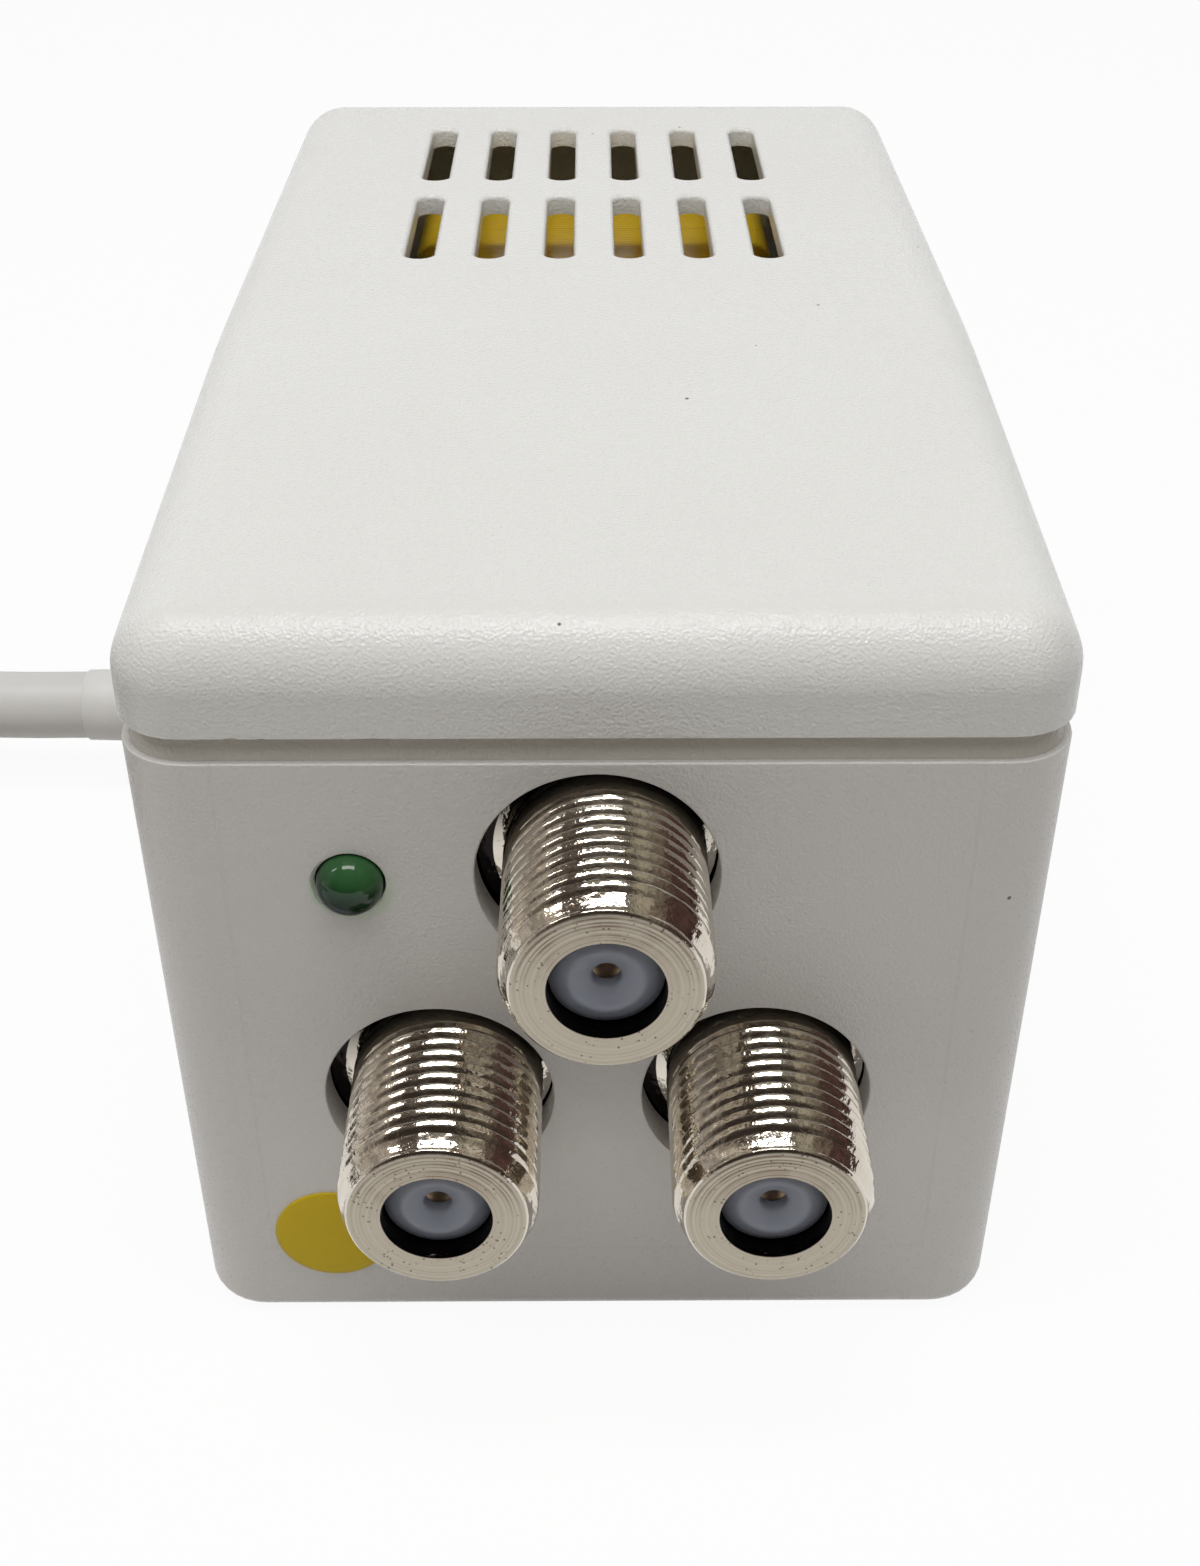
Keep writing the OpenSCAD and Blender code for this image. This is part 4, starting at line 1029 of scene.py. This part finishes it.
def add_bush(material):
    """Collar, neck and flange in the wall, then a tapered boot with rounded ribs."""
    neck, flange, tip = 3.7, 5.0, 2.62
    start, ribs, ribbed = 1.65, 3, 8.0
    profile = [(0, -3.85), (3.95, -3.85), (4.1, -3.7), (4.1, -2.05), (neck, -2.05), (neck, 0.05)]
    profile += [(flange - 0.2, 0.05), (flange, 0.25), (flange, 1.3), (flange - 0.35, start)]
    for i in range(ribs):
        for share, sink in ((0.06, 0), (0.46, 0), (0.54, 0.12), (0.6, 0.45), (0.9, 0.45), (0.97, 0.12)):
            u = (i + share) / ribs
            profile.append((neck + 0.2 - 0.5 * u - sink, start + ribbed * u))
    profile += [(neck - 0.35, start + ribbed + 0.2), (tip + 0.12, 12.5), (tip + 0.03, 15.0)]
    profile += [(tip, BOOT_OUT - 0.1), (tip - 0.08, BOOT_OUT), (0, BOOT_OUT)]
    shape = turned(profile, along_x(-BUSH_X, BUSH_Y, BUSH_Z, -1), 48)
    add_piece("cord_boot", shape, 42, "cord_white", "cord_bush", material)


def add_plug(material):
    """Round boot that grows into a flat body with grip ribs on its sides."""
    shape = Shape()
    boot_r, corner_r = 4.9, 3.0
    rib_from, rib_to, rib_pitch, rib_deep = 0.42, 0.86, 0.11, 0.5
    end_from, end_round = 0.97, 0.5
    stations = []
    for i in range(8):
        u = i / 7
        r = CORD_R + 0.7 + 1.7 * u
        stations.append((PLUG_BOOT * u * 0.99, r, r, r))
    for i in range(1, 41):
        u = i / 40
        grow = ease(u / 0.6)
        half_x = boot_r + (PLUG_W / 2 - boot_r) * grow
        half_z = boot_r + (PLUG_T / 2 - boot_r) * grow
        corner = boot_r + (corner_r - boot_r) * grow
        grip = 0
        if rib_from < u < rib_to:
            grip = rib_deep * (1 - math.cos(2 * math.pi * (u - rib_from) / rib_pitch)) / 2
        end = max(u - end_from, 0) / (1 - end_from) * end_round
        stations.append((PLUG_BOOT + PLUG_L * u, half_x - grip - end, half_z - end, corner))
    rings = []
    for run, half_x, half_z, corner in stations:
        ring = plan_ring(half_x, -half_z, half_z, min(corner, half_x, half_z) * 0.999, arc=10)
        y = PLUG_AT[1] - FRONT_Y - run
        rings.append(shape.ring([(PLUG_AT[0] + px, y, PLUG_AT[2] + pz) for px, pz in ring]))
    shape.solid(rings)
    return add_piece("plug_moulding", shape, 45, "cord_white", "plug_body", material)


def add_pins(bright, sleeve):
    """Round pins, sleeved near the plug, with rounded tips."""
    shape = Shape()
    face = PLUG_AT[1] - FRONT_Y - PLUG_BOOT - PLUG_L
    bare_r, tip = PIN_R - 0.14, 2.0
    profile = [(0, 0.0), (PIN_R, 0.0), (PIN_R, 9.8), (PIN_R - 0.1, 10.0), (bare_r, 10.05)]
    marks = [1] * (len(profile) - 1)
    profile += [(bare_r * cos, PIN_L - tip + tip * sin) for sin, cos in quarter(6)[:-1]]
    profile.append((0, PIN_L))
    marks += [0] * (len(profile) - len(marks) - 1)
    for side in (-1, 1):
        x = PLUG_AT[0] + side * PIN_GAP / 2

        def place(r, a, s):
            return (x + r * math.cos(a), face - s, PLUG_AT[2] + r * math.sin(a))

        turned(profile, place, 40, shape, marks)
    return add_piece("plug_contacts", shape, 45, "nickel", "plug_pins", bright, sleeve)


def add_tie(material):
    """Strap round all the turns of the coil, with rounded edges and corners."""
    loose_out, loose_up = 0.5, 0.2
    inner_turns = COIL_TURNS - TIE_TURN
    far = COIL_IN + COIL_STEP * inner_turns + CORD_R + loose_out + TIE_T / 2
    near = COIL_IN + COIL_STEP * (inner_turns % 1) - CORD_R - loose_out - TIE_T / 2
    low = COIL_LOW - CORD_R - loose_up - TIE_T / 2
    high = COIL_HIGH + CORD_R + loose_up + TIE_T / 2
    path = plan_ring((far - near) / 2, low, high, 1.6, arc=6)
    turn = math.radians(90 + 360 * TIE_TURN)
    section = plan_ring(TIE_T / 2, -TIE_W / 2, TIE_W / 2, 0.4, arc=3)
    shape = Shape()
    rings = []
    for i, (run, z) in enumerate(path):
        ahead = Vector(path[(i + 1) % len(path)]) - Vector(path[i - 1])
        ahead.normalize()
        ring = []
        for out, across in section:
            r = (near + far) / 2 + run + out * ahead[1]
            x = COIL_AT[0] + r * math.cos(turn) - across * math.sin(turn)
            y = COIL_AT[1] - FRONT_Y + r * math.sin(turn) + across * math.cos(turn)
            ring.append((x, y, z - out * ahead[0]))
        rings.append(shape.ring(ring))
    shape.skin(rings, closed=True)
    return add_piece("coil_strap", shape, 50, "tie_black", "coil_tie", material)


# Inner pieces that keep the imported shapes: where each one's metal shows, then all the materials


def chip_ends(pitch, bare):
    """Bright ends on a row of chips that repeats along x, from a distance off each chip's middle."""
    whole_pitches = 20

    def share(look):
        run = look.math("ADD", look.x, pitch * whole_pitches)
        in_chip = look.times(look.math("FRACT", look.math("DIVIDE", run, pitch)), pitch)
        return look.step(look.off(in_chip, pitch / 2), bare - 0.02, bare + 0.02)

    return share


def diode_metal(look):
    """Leads at both ends, and the band that marks one end."""
    wire = look.step(look.off(look.y, DIODE_Y), 2.58, 2.62)
    return look.most(wire, look.step(look.off(look.y, DIODE_Y + 1.7), 0.37, 0.33))


def fuse_metal(look):
    return look.step(look.off(look.y, FUSE_Y), 2.1, 2.16)


def transistor_metal(look):
    return look.step(look.y, RF_BACK + 0.56, RF_BACK + 0.52)


def regulator_metal(look):
    """Tab at the back, leads below."""
    tab = look.step(look.y, PB_FRONT + 8.98, PB_FRONT + 9.02)
    return look.most(tab, look.step(look.z, PB_TOP + 3.4, PB_TOP + 3.36))


def disc_metal(look):
    return look.step(look.z, PB_TOP + 1.0, PB_TOP + 0.9)


def paint_inner():
    tin = metal("tinned_wire", (0.74, 0.73, 0.71), (0.58, 0.57, 0.55))
    black = ((0.012, 0.012, 0.013), (0.03, 0.03, 0.031))
    ceramic = ((0.55, 0.5, 0.4), (0.68, 0.64, 0.54))
    tan = ((0.36, 0.25, 0.14), (0.46, 0.34, 0.2))
    orange = ((0.42, 0.13, 0.03), (0.55, 0.2, 0.05))
    looks = {
        "rf_board": board_green("board_mask"),
        "power_board": board_brown("board_paper"),
        "led_leads": tin,
        "transformer_pins": tin,
        "board_screws": metal("zinc_screw", (0.7, 0.69, 0.66), (0.5, 0.49, 0.46), (0.24, 0.4)),
        "splitter_core": plastic("ferrite", (0.045, 0.044, 0.046), (0.022, 0.022, 0.024), 2.0, 0.03),
        "splitter_wire": metal("enamel_wire", (0.5, 0.16, 0.06), (0.34, 0.09, 0.03), (0.2, 0.35)),
        "transformer_core": plates("iron_plates"),
        "transformer_bobbin": plastic("bobbin_nylon", (0.62, 0.58, 0.47), (0.54, 0.5, 0.4), 1.6),
        "winding_tape": tape_film("yellow_film"),
        "rf_choke": choke_look("choke_winding"),
        "smoothing_capacitor": can_sleeve("large_can", "smoothing_capacitor"),
        "output_capacitor": can_sleeve("small_can", "output_capacitor"),
        "rectifier_diodes": dressed("diode_epoxy", black, diode_metal),
        "mains_fuse": dressed("fuse_ceramic", ceramic, fuse_metal),
        "rf_transistors": dressed("transistor_epoxy", black, transistor_metal),
        "rf_chip_capacitors": dressed("chip_tan", tan, chip_ends(3.5, 0.6)),
        "rf_chip_resistors": dressed("chip_black", black, chip_ends(4.4, 1.15)),
        "voltage_regulator": dressed("regulator_epoxy", black, regulator_metal),
        "ceramic_capacitors": dressed("disc_orange", orange, disc_metal),
    }
    wires = {
        "live_wire": ((0.16, 0.065, 0.03), (0.11, 0.045, 0.02)),
        "neutral_wire": ((0.03, 0.09, 0.36), (0.02, 0.065, 0.27)),
        "red_supply_wire": ((0.5, 0.025, 0.02), (0.38, 0.018, 0.015)),
        "black_supply_wire": ((0.022, 0.022, 0.023), (0.012, 0.012, 0.013)),
    }
    for node, (light, dark) in wires.items():
        looks[node] = plastic(node + "_pvc", light, dark, grain=2.0, rough=(0.32, 0.44))
    for node, material in looks.items():
        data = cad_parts[node].data
        data.materials.clear()
        data.materials.append(material)


# Camera, floor, light and room


def add_camera():
    """The photograph's viewing angle; the lens is for the long side of a 1200 by 1566 frame."""
    data = bpy.data.cameras.new("camera")
    data.sensor_width = 36.0
    data.lens = FOCAL_LENGTH / FRAME_TALL * data.sensor_width
    data.clip_start = 0.005
    data.clip_end = 10.0
    made = link("camera", data)
    made.location = tuple(c * MM for c in CAMERA_AT)
    made.rotation_euler = (math.radians(90 - CAMERA_DOWN), 0, math.radians(CAMERA_TURN))
    bpy.context.scene.camera = made


def add_floor():
    """Pale floor; the camera sees most of it as white, and the object's shadow on it stays."""
    shape = Shape()
    half, below = 900.0, 0.02
    ring = plan_ring(half, -half, half, half / 3)
    shape.face(shape.ring([(x, y, -below) for x, y in ring]))
    made = mesh_object("floor", shape)
    look = Look("floor_paper", roughness=0.9)
    path = look.outputs("LightPath")
    seen = look.most(path["Is Camera Ray"], look.most(path["Is Glossy Ray"], path["Is Transmission Ray"]))
    paper = look.mix(look.noise(0.02, 3.0), (0.50, 0.485, 0.465), (0.54, 0.525, 0.505))
    look.done(base_color=look.mix(seen, paper, (0.9, 0.9, 0.895)))
    glow = look.node("Emission", {"Strength": 1.0})
    surface = look.blend(look.times(seen, 0.94), look.shader.outputs[0], glow)
    look.put(look.tree.nodes["Material Output"].inputs["Surface"], surface)
    made.data.materials.append(look.material)


def add_lamp_panel(name, at, aim, size, power, colour, mirrored=True):
    data = bpy.data.lights.new(name, "AREA")
    data.shape = "RECTANGLE"
    data.size, data.size_y = size
    data.energy = power
    data.color = colour
    made = link(name, data)
    made.location = at
    made.rotation_euler = (Vector(aim) - Vector(at)).to_track_quat("-Z", "Y").to_euler()
    made.visible_camera = False
    made.visible_glossy = mirrored


# The room in reflections, left to right: a grey side, a dark gap, the ceiling, a pale wall, a dark corner
ROOM = (
    (0.0, (0.55, 0.51, 0.46)), (0.1, (0.34, 0.30, 0.26)), (0.22, (0.10, 0.078, 0.066)),
    (0.36, (0.13, 0.115, 0.10)), (0.5, (0.24, 0.225, 0.20)), (0.68, (0.20, 0.185, 0.155)),
    (0.76, (0.36, 0.33, 0.26)), (0.84, (0.22, 0.19, 0.15)), (0.93, (0.07, 0.04, 0.035)),
    (1.0, (0.09, 0.05, 0.045)),
)


def add_world():
    """White to the camera; soft light all round; in reflections a dim room in front, white behind."""
    world = bpy.data.worlds.new("studio")
    bpy.context.scene.world = world
    world.use_nodes = True
    world.node_tree.nodes.clear()
    net = Nodes(world.node_tree)
    path = net.outputs("LightPath")
    place = net.node("TexCoord", output="Generated")
    x, y, z = net.outputs("SeparateXYZ", {0: place})

    def lit(colour, strength):
        return net.node("Background", {"Color": colour, "Strength": strength})

    wall = net.node("ValToRGB", {0: net.span(x, 0.0, 1.0, -1.0)})
    ramp = wall.node.color_ramp
    while len(ramp.elements) < len(ROOM):
        ramp.elements.new(0.5)
    for element, (at, colour) in zip(ramp.elements, ROOM):
        element.position = at
        element.color = (*colour, 1)
    clutter = net.node("TexNoise", {"Vector": place, "Scale": 4.5, "Detail": 3.0})
    sides = lit(wall, net.span(clutter, 0.35, 1.7, 0.3, 0.7))
    around = net.blend(net.step(y, -0.25, -0.65), sides, lit((0.04, 0.032, 0.027), 1.0))
    behind = net.times(net.step(y, 0.3, 0.6), net.step(z, 0.75, 0.5))
    white = lit((1.0, 1.0, 1.0), 1.0)
    room = net.blend(behind, around, lit((1.0, 1.0, 1.0), 0.9))
    soft = net.blend(net.step(y, 0.1, -0.6), lit((1.0, 0.98, 0.95), 0.12), lit((1.0, 0.945, 0.89), 0.2))
    glossy = net.blend(path["Is Glossy Ray"], soft, room)
    through = net.blend(path["Is Transmission Ray"], glossy, white)
    net.outputs("OutputWorld", {"Surface": net.blend(path["Is Camera Ray"], through, white)})


def main():
    bpy.context.scene.view_settings.view_transform = "Standard"
    add_camera()
    cord_white = plastic("cord_vinyl", (0.72, 0.71, 0.695), (0.68, 0.67, 0.655), 1.2, 0.02, (0.36, 0.48))
    plug_white = plastic("plug_vinyl", (0.80, 0.79, 0.775), (0.755, 0.745, 0.73), 2.5, 0.02)
    bright = metal("pin_nickel", (0.78, 0.75, 0.7), (0.66, 0.62, 0.57), stretch=(4.0, 0.3, 4.0))
    plug = add_plug(plug_white)
    pins = add_pins(bright, plug_white)
    tie = add_tie(woven("strap_weave"))
    add_bush(plug_white)
    add_cord(cord_white)
    add_base(case_plastic("case_white", (0.795, 0.78, 0.765), (0.76, 0.74, 0.72), panel=True))
    cover_light, cover_dark = (0.85, 0.85, 0.83), (0.815, 0.81, 0.79)
    add_cover(case_plastic("cover_white", cover_light, cover_dark, depth=0.042, rough=(0.08, 0.26)))
    dielectric = plastic(
        "dielectric", (0.36, 0.385, 0.46), (0.30, 0.325, 0.40), 2.2, 0.02, (0.34, 0.5),
        subsurface_weight=0.25, subsurface_scale=0.5 * MM,
    )
    bronze = metal("contact_bronze", (0.50, 0.37, 0.25), (0.33, 0.23, 0.15), (0.3, 0.5))
    for kind, (x, z) in CONNECTORS.items():
        centre = (x + CONN_OFF, z)
        add_shell(kind, centre, turned_nickel(kind + "_nickel", centre))
        add_insulator(kind, centre, dielectric)
        add_contact(kind, centre, bronze)
    lead_frame = metal("lead_frame", (0.6, 0.6, 0.58), (0.45, 0.45, 0.43))
    add_lamp(lamp_glass("lamp_green"), lead_frame)
    add_sticker(sticker_paper("sticker_yellow"))
    paint_inner()
    add_floor()
    # Lamps: place, aim and size in metres, power in watts
    neutral, warm = (1.0, 1.0, 0.985), (1.0, 0.97, 0.94)
    add_lamp_panel("key", (-0.02, -0.06, 0.62), (-0.02, -0.06, 0), (0.40, 0.13), 1.45, neutral)
    add_lamp_panel("ceiling", (0.0, -0.2, 0.66), (0, -0.01, 0.03), (0.8, 0.5), 1.9, neutral, False)
    add_lamp_panel("left", (-0.43, -0.02, 0.46), (0, -0.04, 0.03), (0.055, 0.16), 0.2, warm)
    add_world()


main()
